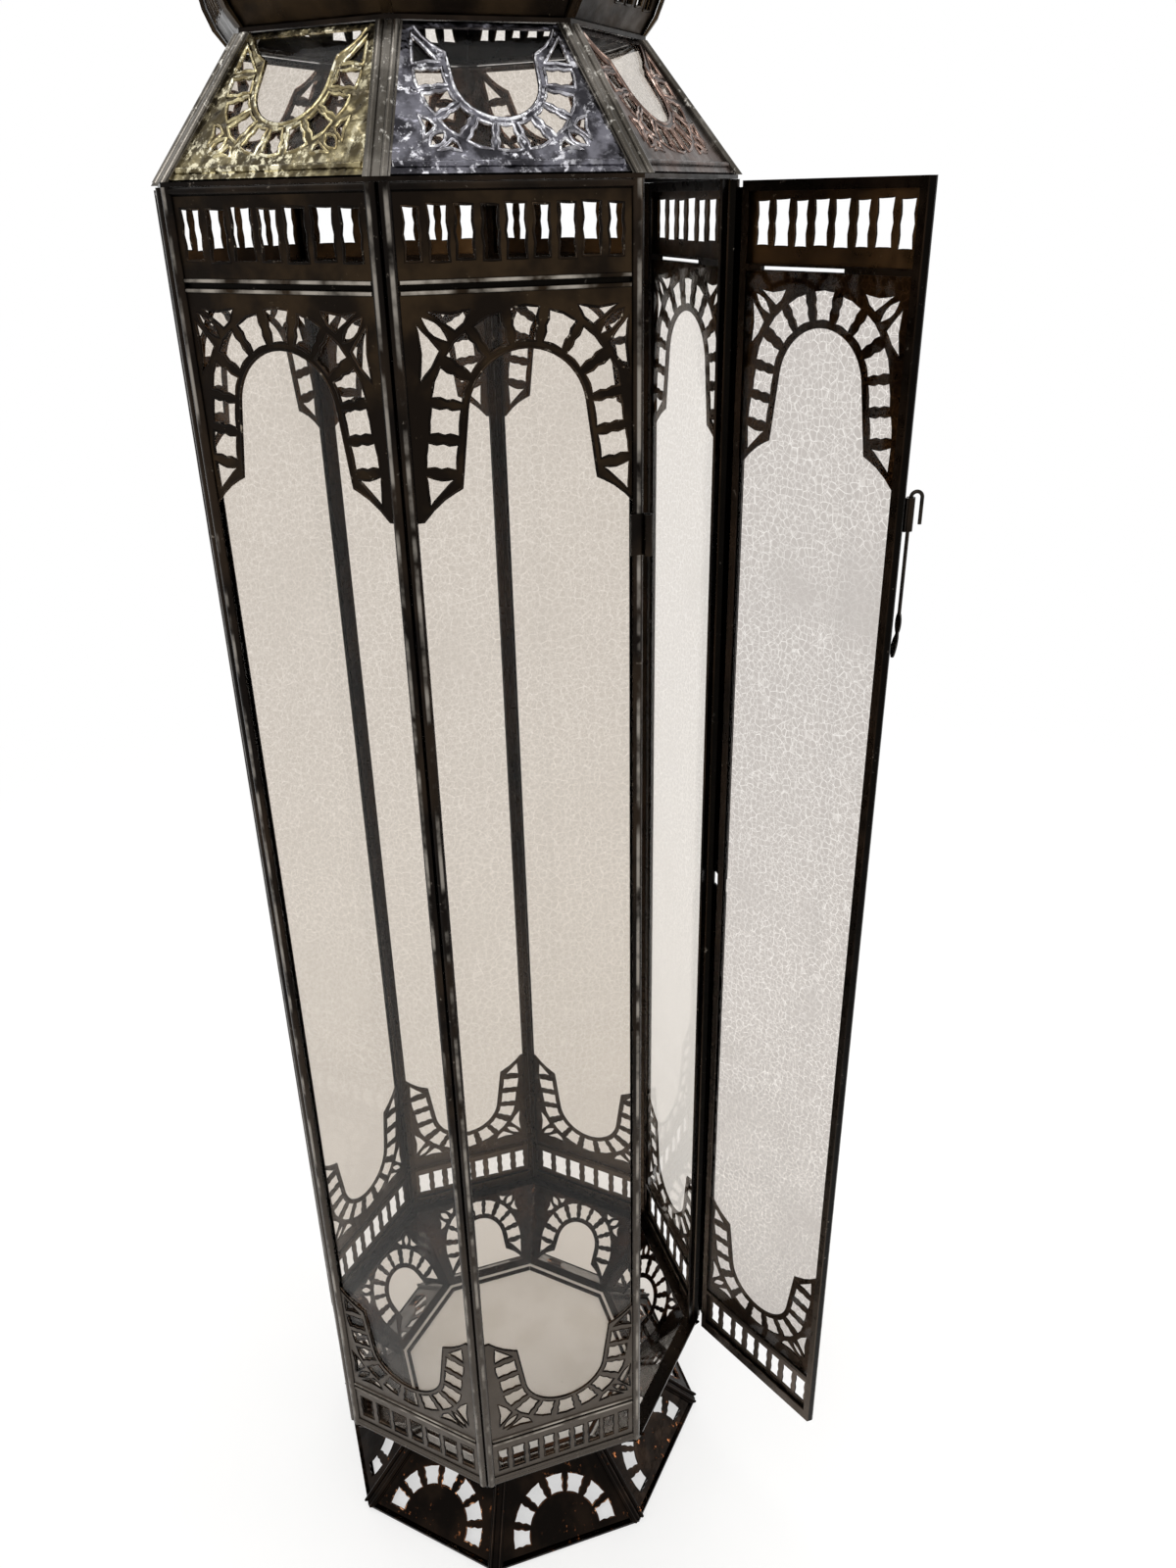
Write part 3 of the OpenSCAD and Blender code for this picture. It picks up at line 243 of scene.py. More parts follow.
LOOKS = {
    # Rolled mild steel, blackened and waxed: near black with olive and brown clouds
    "blackened_steel": dict(
        ground="151210", patina="2A221B", bare_and_glint="7D746A", cloud_mm=55, spot_mm=4.0, rub=0.64,
        rough=(0.22, 0.42), wave_mm=16, relief_mm=0.2, metallic=1.0,
        # Next two lines: painted shade in the crevices, browning inside, a painted highlight on the
        # crests, a painted reflection of the floor low on the outer face, and a painted haze low on the
        # browned side
        crevice_shade_mm=(1.3, 3.2), soot="0D0B09", inside_mm=(5.6, 6.4), inside=("120E0A", "261C14"),
        crest_highlight_mm=(0.02, 0.3), crest_highlight="8A847C", low="4C4640", reflected_haze="4A3F35"),
    # Thin steel sheet cut by hand and blackened: flatter sheen, browner clouds
    "blackened_sheet": dict(
        ground="191410", patina="33281C", bare_and_glint="82735F", cloud_mm=40, spot_mm=3.5, rub=0.66,
        rough=(0.26, 0.48), wave_mm=14, relief_mm=0.25, metallic=1.0,
        # Next two lines: painted shade in the crevices, browning inside, a painted highlight on the hems,
        # a painted reflection of the floor low on the outer face, and a painted haze low on the browned
        # side
        crevice_shade_mm=(8, 9), soot="191410", inside_mm=(3.1, 3.5), inside=("241A12", "4E3822"),
        crest_highlight_mm=(1.35, 1.9), crest_highlight="A0998F", low="524B44", reflected_haze="6E6156"),
    # Cut edges of the blackened sheet, bruised by the snips
    "blackened_edge": dict(
        ground="171310", patina="2E241B", bare_and_glint="8C8274", cloud_mm=30, spot_mm=3.0, rub=0.6,
        rough=(0.2, 0.38), wave_mm=6, relief_mm=0.2, metallic=1.0),
    # The sheet of the taper, smoked brown by the candles, with a breath of copper
    "smoked_sheet": dict(
        ground="1D1510", patina="3D2A1E", bare_and_glint="8E6A50", cloud_mm=38, spot_mm=4.0, rub=0.62,
        rough=(0.24, 0.44), wave_mm=14, relief_mm=0.25, metallic=1.0),
    # The sheet round the foot: glossy wax over near black; its rubbed spots are painted copper glints
    "waxed_copper_brown": dict(
        ground="110E0C", patina="1E1712", bare_and_glint="B87448", cloud_mm=30, spot_mm=5.0, rub=0.62,
        rough=(0.1, 0.24), wave_mm=14, relief_mm=0.6, metallic=1.0),
    # Cut edges of the foot, their rubbed spots painted copper glints
    "copper_glint_edge": dict(
        ground="221610", patina="4A2E1E", bare_and_glint="F0B080", cloud_mm=14, spot_mm=4.5, rub=0.53,
        rough=(0.1, 0.26), wave_mm=5, relief_mm=0.5, metallic=1.0),
    # Shoulder sheet of the left face: gold-lit copy of the shoulder's one sheet, painted light
    "rubbed_brass": dict(
        ground="4C4432", patina="958A69", bare_and_glint="F2EACB", cloud_mm=9, spot_mm=4.5, rub=0.5,
        rough=(0.12, 0.26), wave_mm=6, relief_mm=1.5, metallic=1.0),
    # Curled edge of the left shoulder face: gold-lit copy with painted glints
    "brass_edge": dict(
        ground="7A6E50", patina="CBBF96", bare_and_glint="F6F0D6", cloud_mm=8, spot_mm=5.0, rub=0.5,
        rough=(0.1, 0.24), wave_mm=4, relief_mm=0.8, metallic=1.0),
    # Shoulder sheet of the front left face: silver-lit copy of the shoulder's one sheet, painted light
    "rubbed_pewter": dict(
        ground="343337", patina="75747C", bare_and_glint="E4E3E9", cloud_mm=10, spot_mm=4.5, rub=0.53,
        rough=(0.12, 0.26), wave_mm=6, relief_mm=1.4, metallic=1.0),
    # Curled edge of the front left shoulder face: silver-lit copy with painted glints
    "pewter_edge": dict(
        ground="6A686C", patina="BFBEC4", bare_and_glint="F4F4F6", cloud_mm=8, spot_mm=5.0, rub=0.5,
        rough=(0.1, 0.24), wave_mm=4, relief_mm=0.8, metallic=1.0),
    # Shoulder sheet of the other faces, hammered flat: copper-lit copy of the one sheet, painted light
    "aged_copper": dict(
        ground="2C221D", patina="54423A", bare_and_glint="A8806A", cloud_mm=22, spot_mm=4.0, rub=0.62,
        rough=(0.2, 0.38), wave_mm=9, relief_mm=0.7, metallic=1.0),
    # Curled edge of the other shoulder faces: copper-lit copy with painted glints
    "copper_edge": dict(
        ground="5C4A42", patina="8E776C", bare_and_glint="D9C2B6", cloud_mm=8, spot_mm=4.0, rub=0.54,
        rough=(0.14, 0.28), wave_mm=4, relief_mm=0.4, metallic=1.0),
    # Dark steel of the cap and the finial, rubbed by hands on its rolls
    "handled_steel": dict(
        ground="221C16", patina="3C3022", bare_and_glint="8E7B5A", cloud_mm=25, spot_mm=5.0, rub=0.6,
        rough=(0.22, 0.4), wave_mm=9, relief_mm=0.3, metallic=1.0),
    # The shoulder's corner ribs, rubbed to pale pewter
    "rubbed_rib": dict(
        ground="4A4640", patina="77726B", bare_and_glint="C4C0B8", cloud_mm=30, spot_mm=4.0, rub=0.56,
        rough=(0.16, 0.3), wave_mm=12, relief_mm=0.25, metallic=1.0),
    # Drawn iron wire, oiled
    "iron_wire": dict(
        ground="1E1B19", patina="302A24", bare_and_glint="7C746A", cloud_mm=20, spot_mm=3.0, rub=0.62,
        rough=(0.24, 0.38), wave_mm=10, relief_mm=0.15, metallic=1.0),
}


# Colour of the lines between the pebbles of the glass, and their width as a share of a pebble
PEBBLE_LINE = "F6F2ED"
PEBBLE_LINE_WIDTH = 0.08, 0.015
# Light that the panes let through to what stands behind them
LAMP_TINT = "F2EFEB"
# A low index: the room in front of the panes is darker than the white around them
PANE_INDEX = 1.2


def window_glass(name, tint, pebble_mm, pebbled_from):
    """Thin rolled glass, clear and slightly warm, with faint waves and pebbles; it lets lamps through.

    The pebbles that the rollers leave show as a net of lighter lines. It fades in between the two
    heights of pebbled_from, in metres.
    """
    material, output = new_material(name)
    tree = material.node_tree
    coord = add(tree, "ShaderNodeTexCoord").outputs["Object"]
    cells = add(tree, "ShaderNodeTexVoronoi", {
        "Vector": coord, "Scale": per_mm(pebble_mm), "Randomness": 0.8},
        feature="DISTANCE_TO_EDGE").outputs["Distance"]
    patches = ramp(tree, noise(tree, coord, 70), 0.15, 0.55)
    net = math_node(tree, "MULTIPLY", ramp(tree, cells, *PEBBLE_LINE_WIDTH), patches)
    net = math_node(tree, "MULTIPLY", net, ramp(tree, height_of(tree, coord), *pebbled_from))
    colour = blend_colour(tree, net, linear(tint, 1), linear(PEBBLE_LINE, 1))
    waves = add(tree, "ShaderNodeBump", {
        "Height": noise(tree, coord, 60, 1), "Distance": 0.15 * MM, "Strength": 1.0}).outputs[0]
    glass = add(tree, "ShaderNodeBsdfPrincipled", {
        "Base Color": colour, "Roughness": 0.01, "IOR": PANE_INDEX,
        "Transmission Weight": 1.0, "Normal": waves})
    clear = add(tree, "ShaderNodeBsdfTransparent", {"Color": linear(LAMP_TINT, 1)})
    shadow = add(tree, "ShaderNodeLightPath").outputs["Is Shadow Ray"]
    mixed = add(tree, "ShaderNodeMixShader", {0: shadow, 1: glass.outputs[0], 2: clear.outputs[0]})
    tree.links.new(mixed.outputs[0], output.inputs[0])
    return material


def zinc_floor(name):
    """Galvanised sheet dulled by wax: pale and matt, with dark specks of soot."""
    material, output = new_material(name)
    tree = material.node_tree
    coord = add(tree, "ShaderNodeTexCoord").outputs["Object"]
    clouds = ramp(tree, noise(tree, coord, 35, 4), 0.35, 0.65)
    colour = blend_colour(tree, clouds, linear("FBF9F6", 1), linear("F2EFEA", 1))
    specks = ramp(tree, noise(tree, coord, 1.8, 3, 0.7), 0.7, 0.76)
    colour = blend_colour(tree, specks, colour, linear("6A5E52", 1))
    bump = add(tree, "ShaderNodeBump", {
        "Height": noise(tree, coord, 8, 3), "Distance": 0.2 * MM, "Strength": 1.0}).outputs[0]
    sheet = add(tree, "ShaderNodeBsdfPrincipled", {
        "Base Color": colour, "Metallic": 0.0, "Roughness": 0.5, "Normal": bump})
    tree.links.new(sheet.outputs[0], output.inputs[0])
    return material


MATERIALS = {}


def material(name):
    """Material by its name, made the first time it is asked for."""
    if name not in MATERIALS:
        looks = bpy.context.scene.lantern_looks
        metal, _, place = name.partition(".")
        if metal in LOOKS:
            MATERIALS[name] = aged_metal(name, LOOKS[metal], place)
        elif name == "body_glass":
            MATERIALS[name] = window_glass(name, looks.body_glass_hex, 4.5, (0.3, 0.6))
        elif name == "door_glass":
            # The door's pane is tinted darker than the body's panes of the same glass: painted shade
            MATERIALS[name] = window_glass(name, looks.door_glass_shaded_hex, 4.5, (0.1, 0.3))
        elif name == "zinc_floor":
            MATERIALS[name] = zinc_floor(name)
        else:
            raise RuntimeError("no such material: " + name)
    return MATERIALS[name]


METAL_OF = {
    "foot_rim": "waxed_copper_brown", "foot_panels": "waxed_copper_brown",
    "foot_ribs": "waxed_copper_brown", "floor_plate": "zinc_floor",
    "floor_rail": "smoked_sheet", "taper_frets": "smoked_sheet", "taper_ribs": "smoked_sheet",
    "body_bottom_ring": "blackened_steel", "body_top_ring": "blackened_steel",
    "doorway_jambs": "blackened_steel",
    # The shoulder's faces are one sheet in differently lit copies: painted light
    "shoulder_left": "rubbed_brass", "shoulder_front_left": "rubbed_pewter",
    "shoulder_front": "aged_copper", "shoulder_ribs": "rubbed_rib",
    "shoulder_top_ring": "blackened_steel",
    "dome_gores": "blackened_sheet", "dome_ribs": "handled_steel", "dome_cap": "handled_steel",
    "finial": "handled_steel", "ring_eye": "handled_steel", "carry_ring": "iron_wire",
    "drop_bolt": "iron_wire", "hinge_pins": "iron_wire", "door_frame": "blackened_steel.door",
    "door_fret": "blackened_sheet.door", "door_knuckles": "blackened_steel",
    "post_knuckles": "blackened_steel", "latch_sleeve": "blackened_steel",
    "keeper_sleeve": "blackened_steel",
}


def metal_name(node):
    """Name of the metal a CAD node is made of."""
    if node in METAL_OF:
        return METAL_OF[node]
    if node.startswith("frame_"):
        return "blackened_steel.body"
    if node.startswith("fret_"):
        return "blackened_sheet.body"
    # Shoulder faces not listed take the copper-lit copy: painted light
    if node.startswith("shoulder_"):
        return "aged_copper"
    raise RuntimeError("no metal for " + node)


def dress(node, chosen):
    """Gives a CAD node its material."""
    data = NODES[node].data
    data.materials.clear()
    data.materials.append(chosen)


# ---- rolled cut edges ------------------------------------------------------------------------------

# Thickness of the shoulder's curled edges beside the body's
SHOULDER_BEAD = 1.45
# How far inside the cut edge the middle of its roll lies
BEAD_INSET = 0.3 * MM
# How far the middle of the roll lies below the face of a flat plate and of a curved gore
PLATE_SAG, GORE_SAG = 0.35 * MM, 0.3 * MM
# Faces this close to each other count as one plane
PLANE_STEP = 0.05 * MM
# Level edges longer than this are a plate's own border, which sits in its rail
LONGEST_CUT = 12 * MM
# Half the width of the slotted part of a gore
GORE_HALF = 44 * MM
# Strip at the upright sides of a plate that stays hidden in its seat: body and door, others, gores
SEAT_STRIP, WIDE_STRIP, NO_STRIP = 2.9, 6.4, 0


def plate_faces(work, normal):
    """Faces of a plate that look along its normal and lie in its foremost plane."""
    looking = [f for f in work.faces if f.normal.dot(normal) > 0.9995]
    sums = {}
    for f in looking:
        depth = round(f.calc_center_median().dot(normal) / PLANE_STEP)
        sums[depth] = sums.get(depth, 0) + f.calc_area()
    front = max(sums, key=lambda d: (sums[d] > 0.15 * max(sums.values()), d))
    return [f for f in looking
            if abs(f.calc_center_median().dot(normal) / PLANE_STEP - front) < 0.6]


def plate_rims(work, normal, margin, sag):
    """Lines along the cut edges of one flat plate, a little inside the metal.

    margin is the strip at the plate's upright sides that stays hidden in its seat.
    """
    across = Vector((0, 0, 1)).cross(normal).normalized()
    up = normal.cross(across)
    faces = set(plate_faces(work, normal))
    points = [(v.co.dot(across), v.co.dot(up)) for f in faces for v in f.verts]
    low, high = min(p[1] for p in points), max(p[1] for p in points)
    mid = (max(p[0] for p in points) + min(p[0] for p in points)) / 2
    reach = (high - low) * 0.1
    half_low = max(abs(p[0] - mid) for p in points if p[1] < low + reach)
    half_high = max(abs(p[0] - mid) for p in points if p[1] > high - reach)
    lines, inward = [], {}
    for f in faces:
        for edge in f.edges:
            if sum(other in faces for other in edge.link_faces) != 1:
                continue
            a, b = (v.co for v in edge.verts)
            run = b - a
            if abs(run.dot(up)) < 0.05 * run.length and run.length > LONGEST_CUT:
                continue
            room = []
            for p in (a, b):
                share = (p.dot(up) - low) / (high - low)
                room.append(half_low + (half_high - half_low) * share - abs(p.dot(across) - mid))
            if max(room) < margin:
                continue
            third = next(v.co for v in f.verts if v not in edge.verts)
            side = run.cross(normal).normalized()
            if side.dot(third - a) < 0:
                side = -side
            lines.append(edge)
            for v in edge.verts:
                inward.setdefault(v, Vector()).__iadd__(side)
    moved = {v: v.co + inward[v].normalized() * BEAD_INSET - normal * sag for v in inward}
    return [(e.verts[0], e.verts[1]) for e in lines], moved


def gore_rims(work, normal, sag):
    """Lines along the cut edges of the slots in one curved gore of the dome."""
    lines, inward = [], {}
    for edge in work.edges:
        if len(edge.link_faces) != 2:
            continue
        outer, wall = sorted(edge.link_faces, key=lambda f: -f.normal.dot(normal))
        if outer.normal.dot(normal) < 0.6 or abs(wall.normal.dot(normal)) > 0.2:
            continue
        a, b = (v.co for v in edge.verts)
        if abs((a + b).dot(Vector((-normal.y, normal.x, 0)))) > 2 * GORE_HALF:
            continue
        lines.append(edge)
        for v in edge.verts:
            inward.setdefault(v, Vector()).__iadd__(-wall.normal)
    moved = {v: v.co + inward[v].normalized() * BEAD_INSET - normal * sag for v in inward}
    return [(e.verts[0], e.verts[1]) for e in lines], moved


def split_lines(pairs, moved, step):
    """Points and edges of the lines, with long edges split into steps."""
    points, index, edges = [], {}, []
    for v in moved:
        index[v] = len(points)
        points.append(moved[v])
    for a, b in pairs:
        p, q = moved[a], moved[b]
        count = max(1, round((q - p).length / step))
        last = index[a]
        for i in range(1, count):
            points.append(p.lerp(q, i / count))
            edges.append((last, len(points) - 1))
            last = len(points) - 1
        edges.append((last, index[b]))
    return points, edges


def merged_copy(node):
    """Editable copy of a CAD node's mesh with its doubled corners merged."""
    work = bmesh.new()
    work.from_mesh(NODES[node].data)
    bmesh.ops.remove_doubles(work, verts=work.verts, dist=0.001 * MM)
    work.normal_update()
    return work


def plate_lean(work, turn):
    """Lean of the largest flat area that looks towards turn."""
    sums = {}
    for f in work.faces:
        n = f.normal
        level = math.hypot(n.x, n.y)
        if level < 0.3 or n.dot(outward(turn)) < 0.3:
            continue
        if abs(math.remainder(math.atan2(n.y, n.x) - turn, math.tau)) < 0.002:
            key = round(math.atan2(n.z, level), 3)
            sums[key] = sums.get(key, 0) + f.calc_area()
    return max(sums, key=sums.get)


def bead_tree():
    """Node tree that lays an uneven round bead along every line of a mesh."""
    tree = bpy.data.node_groups.new("rolled_cut_edge", "GeometryNodeTree")
    face = tree.interface
    face.new_socket("Lines", in_out="INPUT", socket_type="NodeSocketGeometry")
    for name, kind in (("Bead radius", "NodeSocketFloat"), ("Unevenness", "NodeSocketFloat"),
                       ("Unevenness size", "NodeSocketFloat"), ("Sides", "NodeSocketInt"),
                       ("Metal", "NodeSocketMaterial")):
        face.new_socket(name, in_out="INPUT", socket_type=kind)
    face.new_socket("Bead", in_out="OUTPUT", socket_type="NodeSocketGeometry")
    given = add(tree, "NodeGroupInput").outputs
    curve = add(tree, "GeometryNodeMeshToCurve", {"Mesh": given["Lines"]}).outputs[0]
    scale = add(tree, "ShaderNodeMath", {0: 1.0, 1: given["Unevenness size"]}, operation="DIVIDE")
    pattern = add(tree, "ShaderNodeTexNoise", {"Scale": scale.outputs[0], "Detail": 1.0})
    centred = add(tree, "ShaderNodeMath", {0: pattern.outputs["Fac"], 1: 0.5}, operation="SUBTRACT")
    swing = add(tree, "ShaderNodeMath", {0: centred.outputs[0], 1: given["Unevenness"]},
                operation="MULTIPLY")
    thick = add(tree, "ShaderNodeMath", {0: swing.outputs[0], 1: 1.0}, operation="ADD")
    sized = add(tree, "GeometryNodeSetCurveRadius", {"Curve": curve, "Radius": thick.outputs[0]})
    circle = add(tree, "GeometryNodeCurvePrimitiveCircle",
                 {"Resolution": given["Sides"], "Radius": given["Bead radius"]}, mode="RADIUS")
    bead = add(tree, "GeometryNodeCurveToMesh", {
        "Curve": sized.outputs[0], "Profile Curve": circle.outputs[0], "Fill Caps": True})
    smooth = add(tree, "GeometryNodeSetShadeSmooth", {"Geometry": bead.outputs[0]})
    real = add(tree, "GeometryNodeRealizeInstances", {"Geometry": smooth.outputs[0]})
    metal = add(tree, "GeometryNodeSetMaterial",
                {"Geometry": real.outputs[0], "Material": given["Metal"]})
    add(tree, "NodeGroupOutput", {"Bead": metal.outputs[0]})
    return tree


def bake_tree(obj, tree, values):
    """Runs a node tree on an object with the values by name, and keeps the result as a mesh."""
    modifier = obj.modifiers.new(tree.name, "NODES")
    modifier.node_group = tree
    sockets = {s.name: s.identifier for s in tree.interface.items_tree if s.in_out == "INPUT"}
    for name, value in values.items():
        modifier[sockets[name]] = value
    deps = bpy.context.evaluated_depsgraph_get()
    mesh = bpy.data.meshes.new_from_object(obj.evaluated_get(deps))
    obj.modifiers.clear()
    obj.data = mesh
    work = bmesh.new()
    work.from_mesh(mesh)
    bmesh.ops.remove_doubles(work, verts=work.verts, dist=0.001 * MM)
    bmesh.ops.recalc_face_normals(work, faces=work.faces)
    work.to_mesh(mesh)
    work.free()
    return obj


def rolled_edges(name, sources, metal, body, radius):
    """One piece with the rolled cut edges of several plates.

    sources are (CAD node, turns of its plates, hidden strip in mm, kind of plate).
    """
    sizes = bpy.context.scene.lantern_sizes
    points, edges = [], []
    for node, turns, margin, kind in sources:
        work = merged_copy(node)
        for turn in turns:
            if kind == "gore":
                pairs, moved = gore_rims(work, outward(turn), GORE_SAG)
            else:
                lean = plate_lean(work, turn)
                pairs, moved = plate_rims(work, outward(turn, lean), margin * MM, PLATE_SAG)
            new_points, new_edges = split_lines(pairs, moved, sizes.bead_step)
            base = len(points)
            points += [tuple(p) for p in new_points]
            edges += [(a + base, b + base) for a, b in new_edges]
        work.free()
    mesh = bpy.data.meshes.new(name)
    mesh.from_pydata(points, edges, [])
    obj = bpy.data.objects.new(name, mesh)
    bpy.context.scene.collection.objects.link(obj)
    bake_tree(obj, bead_tree(), {
        "Bead radius": radius, "Unevenness": sizes.bead_unevenness,
        "Unevenness size": 4 * MM, "Sides": sizes.bead_sides, "Metal": material(metal)})
    obj.data.materials.clear()
    obj.data.materials.append(material(metal))
    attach(obj, body)
    return obj


# ---- sizes and colours a user may change ---------------------------------------------------------


class LanternSizes(bpy.types.PropertyGroup):
    bead_radius: FloatProperty(
        name="Cut edge radius", description="Radius of the roll left along the cut edges",
        default=0.7 * MM, min=0.3 * MM, max=1.2 * MM, unit="LENGTH")
    bead_step: FloatProperty(
        name="Cut edge step", description="Distance between the roll's points",
        default=3 * MM, min=1 * MM, max=8 * MM, unit="LENGTH")
    bead_unevenness: FloatProperty(
        name="Cut edge unevenness", description="Share by which the roll's thickness varies",
        default=0.7, min=0, max=1.5, subtype="FACTOR")
    bead_sides: IntProperty(
        name="Cut edge sides", description="Number of sides of the roll", default=6, min=4, max=12)
    floor_width: FloatProperty(
        name="Floor width", description="Width of the studio floor", default=14.0, unit="LENGTH")


class LanternLight(bpy.types.PropertyGroup):
    key_power: FloatProperty(
        name="Key lamp", description="Power of the large lamp on the left", default=22.0, unit="POWER")
    fill_power: FloatProperty(
        name="Fill lamp", description="Power of the lamp on the right", default=10.0, unit="POWER")
    top_power: FloatProperty(
        name="Top lamp", description="Power of the lamp overhead", default=16.0, unit="POWER")
    sky: FloatProperty(
        name="Room light", description="Strength of the even light of the room", default=0.9)


class LanternLooks(bpy.types.PropertyGroup):
    body_glass_hex: StringProperty(
        name="Body glass", description="Tint of the body's panes, as sRGB hex", default="E3DED8")
    # Tinted darker than the body's panes of the same glass: painted shade
    door_glass_shaded_hex: StringProperty(
        name="Door glass", description="Tint of the door's pane, as sRGB hex", default="C7C1BC")
    floor_colour: FloatVectorProperty(
        name="Floor colour", description="Colour of the studio floor", subtype="COLOR",
        default=linear("F7F6F4"), size=3, min=0, max=1)


# ---- pieces ------------------------------------------------------------------------------------------


class LANTERN_OT_metal(bpy.types.Operator):
    """Gives every CAD part of sheet, wire and rolled steel its finish"""
    bl_idname = "lantern.metal"
    bl_label = "Finish the metal"

    def execute(self, context):
        for node in NODES:
            if "glass" not in node:
                dress(node, material(metal_name(node)))
        return {"FINISHED"}


class LANTERN_OT_glass(bpy.types.Operator):
    """Glazes the body, the door and the sloping sections"""
    bl_idname = "lantern.glass"
    bl_label = "Glaze the lantern"

    def execute(self, context):
        for node in NODES:
            if "glass" in node:
                dress(node, material("door_glass" if node == "door_glass" else "body_glass"))
        return {"FINISHED"}


class LANTERN_OT_cut_edges(bpy.types.Operator):
    """Lays the rolled edge that the snips leave along every cut edge of the pierced plates"""
    bl_idname = "lantern.cut_edges"
    bl_label = "Roll the cut edges"

    def execute(self, context):
        radius = context.scene.lantern_sizes.bead_radius
        every = list(SIDE_TURN.values())
        fixed = [s for s in SIDES if s != "front"]
        body = [("fret_" + s, [SIDE_TURN[s]], SEAT_STRIP, "plate") for s in fixed]
        rolled_edges("body_cut_edges", body, "blackened_edge", "lantern", radius)
        door_turn = SIDE_TURN["front"] + math.radians(door_open())
        rolled_edges("door_cut_edges", [("door_fret", [door_turn], SEAT_STRIP, "plate")],
                     "blackened_edge", "door", radius)
        # Each shoulder face's curled edges in a differently lit copy, with painted glints
        metals = {"left": "brass_edge", "front_left": "pewter_edge"}
        for side in SIDES:
            rolled_edges("shoulder_cut_edges_" + side,
                         [("shoulder_" + side, [SIDE_TURN[side]], WIDE_STRIP, "plate")],
                         metals.get(side, "copper_edge"), "lantern",
                         radius * SHOULDER_BEAD)
        rolled_edges("taper_cut_edges", [("taper_frets", every, WIDE_STRIP, "plate")],
                     "smoked_sheet", "lantern", radius)
        # The foot's cut edges carry painted copper glints
        rolled_edges("foot_cut_edges", [("foot_panels", every, WIDE_STRIP, "plate")],
                     "copper_glint_edge", "lantern", radius)
        rolled_edges("dome_cut_edges", [("dome_gores", every, NO_STRIP, "gore")],
                     "handled_steel", "lantern", radius)
        return {"FINISHED"}


# ---- stage ---------------------------------------------------------------------------------------------

EYE = (-0.6048, -0.3884, 0.9600)
HEADING, DOWN, ROLL = 26.974, 26.277, -1.078
LENS = 27.27


def seen_ray(tree):
    """1 for the rays that the eye follows, also through glass and off metal."""
    path = add(tree, "ShaderNodeLightPath").outputs
    direct = math_node(tree, "MAXIMUM", path["Is Camera Ray"], path["Is Glossy Ray"])
    return math_node(tree, "MAXIMUM", direct, path["Is Transmission Ray"])


def studio_world(strength):
    """White surroundings for the eye, metal and glass, and softer even light for everything else."""
    world = bpy.data.worlds.new("studio_room")
    bpy.context.scene.world = world
    world.use_nodes = True
    tree = world.node_tree
    tree.nodes.clear()
    soft = add(tree, "ShaderNodeBackground", {"Color": (1, 1, 1, 1), "Strength": strength})
    white = add(tree, "ShaderNodeBackground", {"Color": (1, 1, 1, 1), "Strength": 1.0})
    mixed = add(tree, "ShaderNodeMixShader",
                {0: seen_ray(tree), 1: soft.outputs[0], 2: white.outputs[0]})
    add(tree, "ShaderNodeOutputWorld", {0: mixed.outputs[0]})


def studio_lamp(name, place, target, size, power):
    """Square soft lamp that looks at a point."""
    data = bpy.data.lights.new(name, "AREA")
    data.shape = "SQUARE"
    data.size = size
    data.energy = power
    lamp = bpy.data.objects.new(name, data)
    lamp.matrix_world = Matrix.Translation(place) @ (
        (Vector(target) - Vector(place)).to_track_quat("-Z", "Y").to_matrix().to_4x4())
    bpy.context.scene.collection.objects.link(lamp)


def studio_floor(width, colour):
    """Plain pale floor that takes the lantern's shadow and whitens away from it."""
    half = width / 2
    mesh = bpy.data.meshes.new("studio_floor")
    corners = [(x * half, y * half, -0.2 * MM) for x, y in ((-1, -1), (1, -1), (1, 1), (-1, 1))]
    mesh.from_pydata(corners, [], [(0, 1, 2, 3)])
    floor = bpy.data.objects.new("studio_floor", mesh)
    bpy.context.scene.collection.objects.link(floor)
    paint, output = new_material("studio_floor_paint")
    tree = paint.node_tree
    matt = add(tree, "ShaderNodeBsdfPrincipled", {
        "Base Color": (*colour, 1), "Roughness": 0.9, "Specular IOR Level": 0.1}).outputs[0]
    white = add(tree, "ShaderNodeEmission", {"Color": (1, 1, 1, 1), "Strength": 1.0}).outputs[0]
    coord = add(tree, "ShaderNodeTexCoord").outputs["Object"]
    away = add(tree, "ShaderNodeVectorMath", {0: coord}, operation="LENGTH").outputs["Value"]
    share = add(tree, "ShaderNodeMapRange", {
        "Value": away, "From Min": 0.4, "From Max": 1.8, "To Min": 0.55, "To Max": 1.0}).outputs[0]
    seen = math_node(tree, "MULTIPLY", share, seen_ray(tree))
    mixed = add(tree, "ShaderNodeMixShader", {0: seen, 1: matt, 2: white})
    tree.links.new(mixed.outputs[0], output.inputs[0])
    mesh.materials.append(paint)


def photo_camera():
    """Camera at the photograph's place, with its heading, tilt and roll."""
    az, dn, ro = (math.radians(a) for a in (HEADING, DOWN, ROLL))
    ahead = Vector((math.cos(az) * math.cos(dn), math.sin(az) * math.cos(dn), -math.sin(dn)))
    right = Vector((math.sin(az), -math.cos(az), 0))
    up = right.cross(ahead)
    x_axis = math.cos(ro) * right + math.sin(ro) * up
    y_axis = -math.sin(ro) * right + math.cos(ro) * up
    data = bpy.data.cameras.new("photo_camera")
    data.lens = LENS
    data.sensor_width = 36
    camera = bpy.data.objects.new("photo_camera", data)
    turn = Matrix((x_axis, y_axis, -ahead)).transposed().to_4x4()
    camera.matrix_world = Matrix.Translation(EYE) @ turn
    bpy.context.scene.collection.objects.link(camera)
    bpy.context.scene.camera = camera


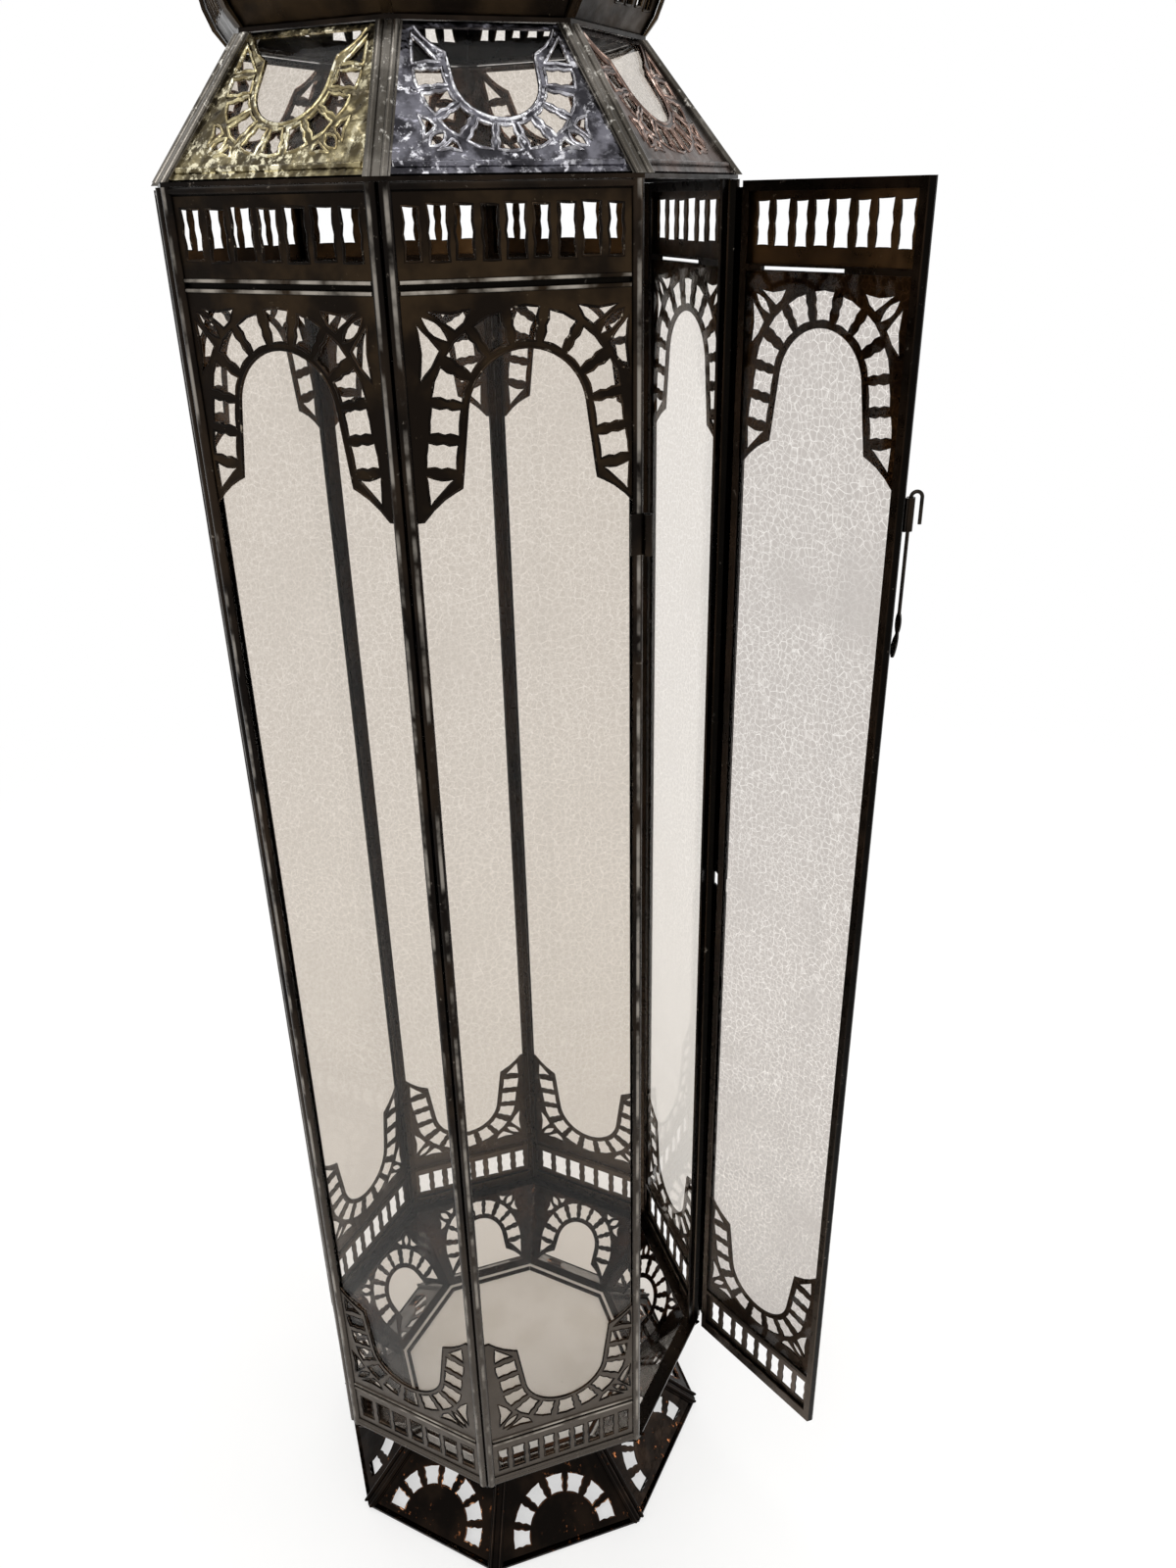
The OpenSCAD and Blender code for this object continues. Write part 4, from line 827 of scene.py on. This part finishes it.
class LANTERN_OT_stage(bpy.types.Operator):
    """Sets up the floor, the lamps, the room and the camera"""
    bl_idname = "lantern.stage"
    bl_label = "Set the stage"

    def execute(self, context):
        sizes, light = context.scene.lantern_sizes, context.scene.lantern_light
        studio_world(light.sky)
        studio_floor(sizes.floor_width, context.scene.lantern_looks.floor_colour)
        studio_lamp("key_lamp", (-1.9, -0.6, 2.3), (0, 0, 0.7), 1.3, light.key_power)
        studio_lamp("fill_lamp", (0.9, -2.0, 1.3), (0, 0, 0.6), 1.1, light.fill_power)
        studio_lamp("top_lamp", (0.3, 0.5, 3.0), (0, 0, 0.5), 1.6, light.top_power)
        photo_camera()
        context.scene.view_settings.view_transform = "Standard"
        return {"FINISHED"}


class LANTERN_PT_panel(bpy.types.Panel):
    """Sidebar list of the lantern's steps"""
    bl_idname = "LANTERN_PT_panel"
    bl_label = "Lantern"
    bl_space_type = "VIEW_3D"
    bl_region_type = "UI"
    bl_category = "Lantern"

    def draw(self, context):
        for group in (context.scene.lantern_sizes, context.scene.lantern_light,
                      context.scene.lantern_looks):
            for name in group.bl_rna.properties.keys():
                if name not in ("rna_type", "name"):
                    self.layout.prop(group, name)
        for step in STEPS:
            self.layout.operator(step.bl_idname)


GROUPS = {"lantern_sizes": LanternSizes, "lantern_light": LanternLight, "lantern_looks": LanternLooks}
STEPS = [LANTERN_OT_metal, LANTERN_OT_glass, LANTERN_OT_cut_edges, LANTERN_OT_stage]


def register():
    for name, group in GROUPS.items():
        bpy.utils.register_class(group)
        setattr(bpy.types.Scene, name, PointerProperty(type=group))
    for step in STEPS:
        bpy.utils.register_class(step)
    bpy.utils.register_class(LANTERN_PT_panel)


def unregister():
    bpy.utils.unregister_class(LANTERN_PT_panel)
    for step in reversed(STEPS):
        bpy.utils.unregister_class(step)
    for name, group in GROUPS.items():
        delattr(bpy.types.Scene, name)
        bpy.utils.unregister_class(group)


def main():
    register()
    for step in STEPS:
        area, name = step.bl_idname.split(".")
        getattr(getattr(bpy.ops, area), name)()


if __name__ == "__main__":
    main()
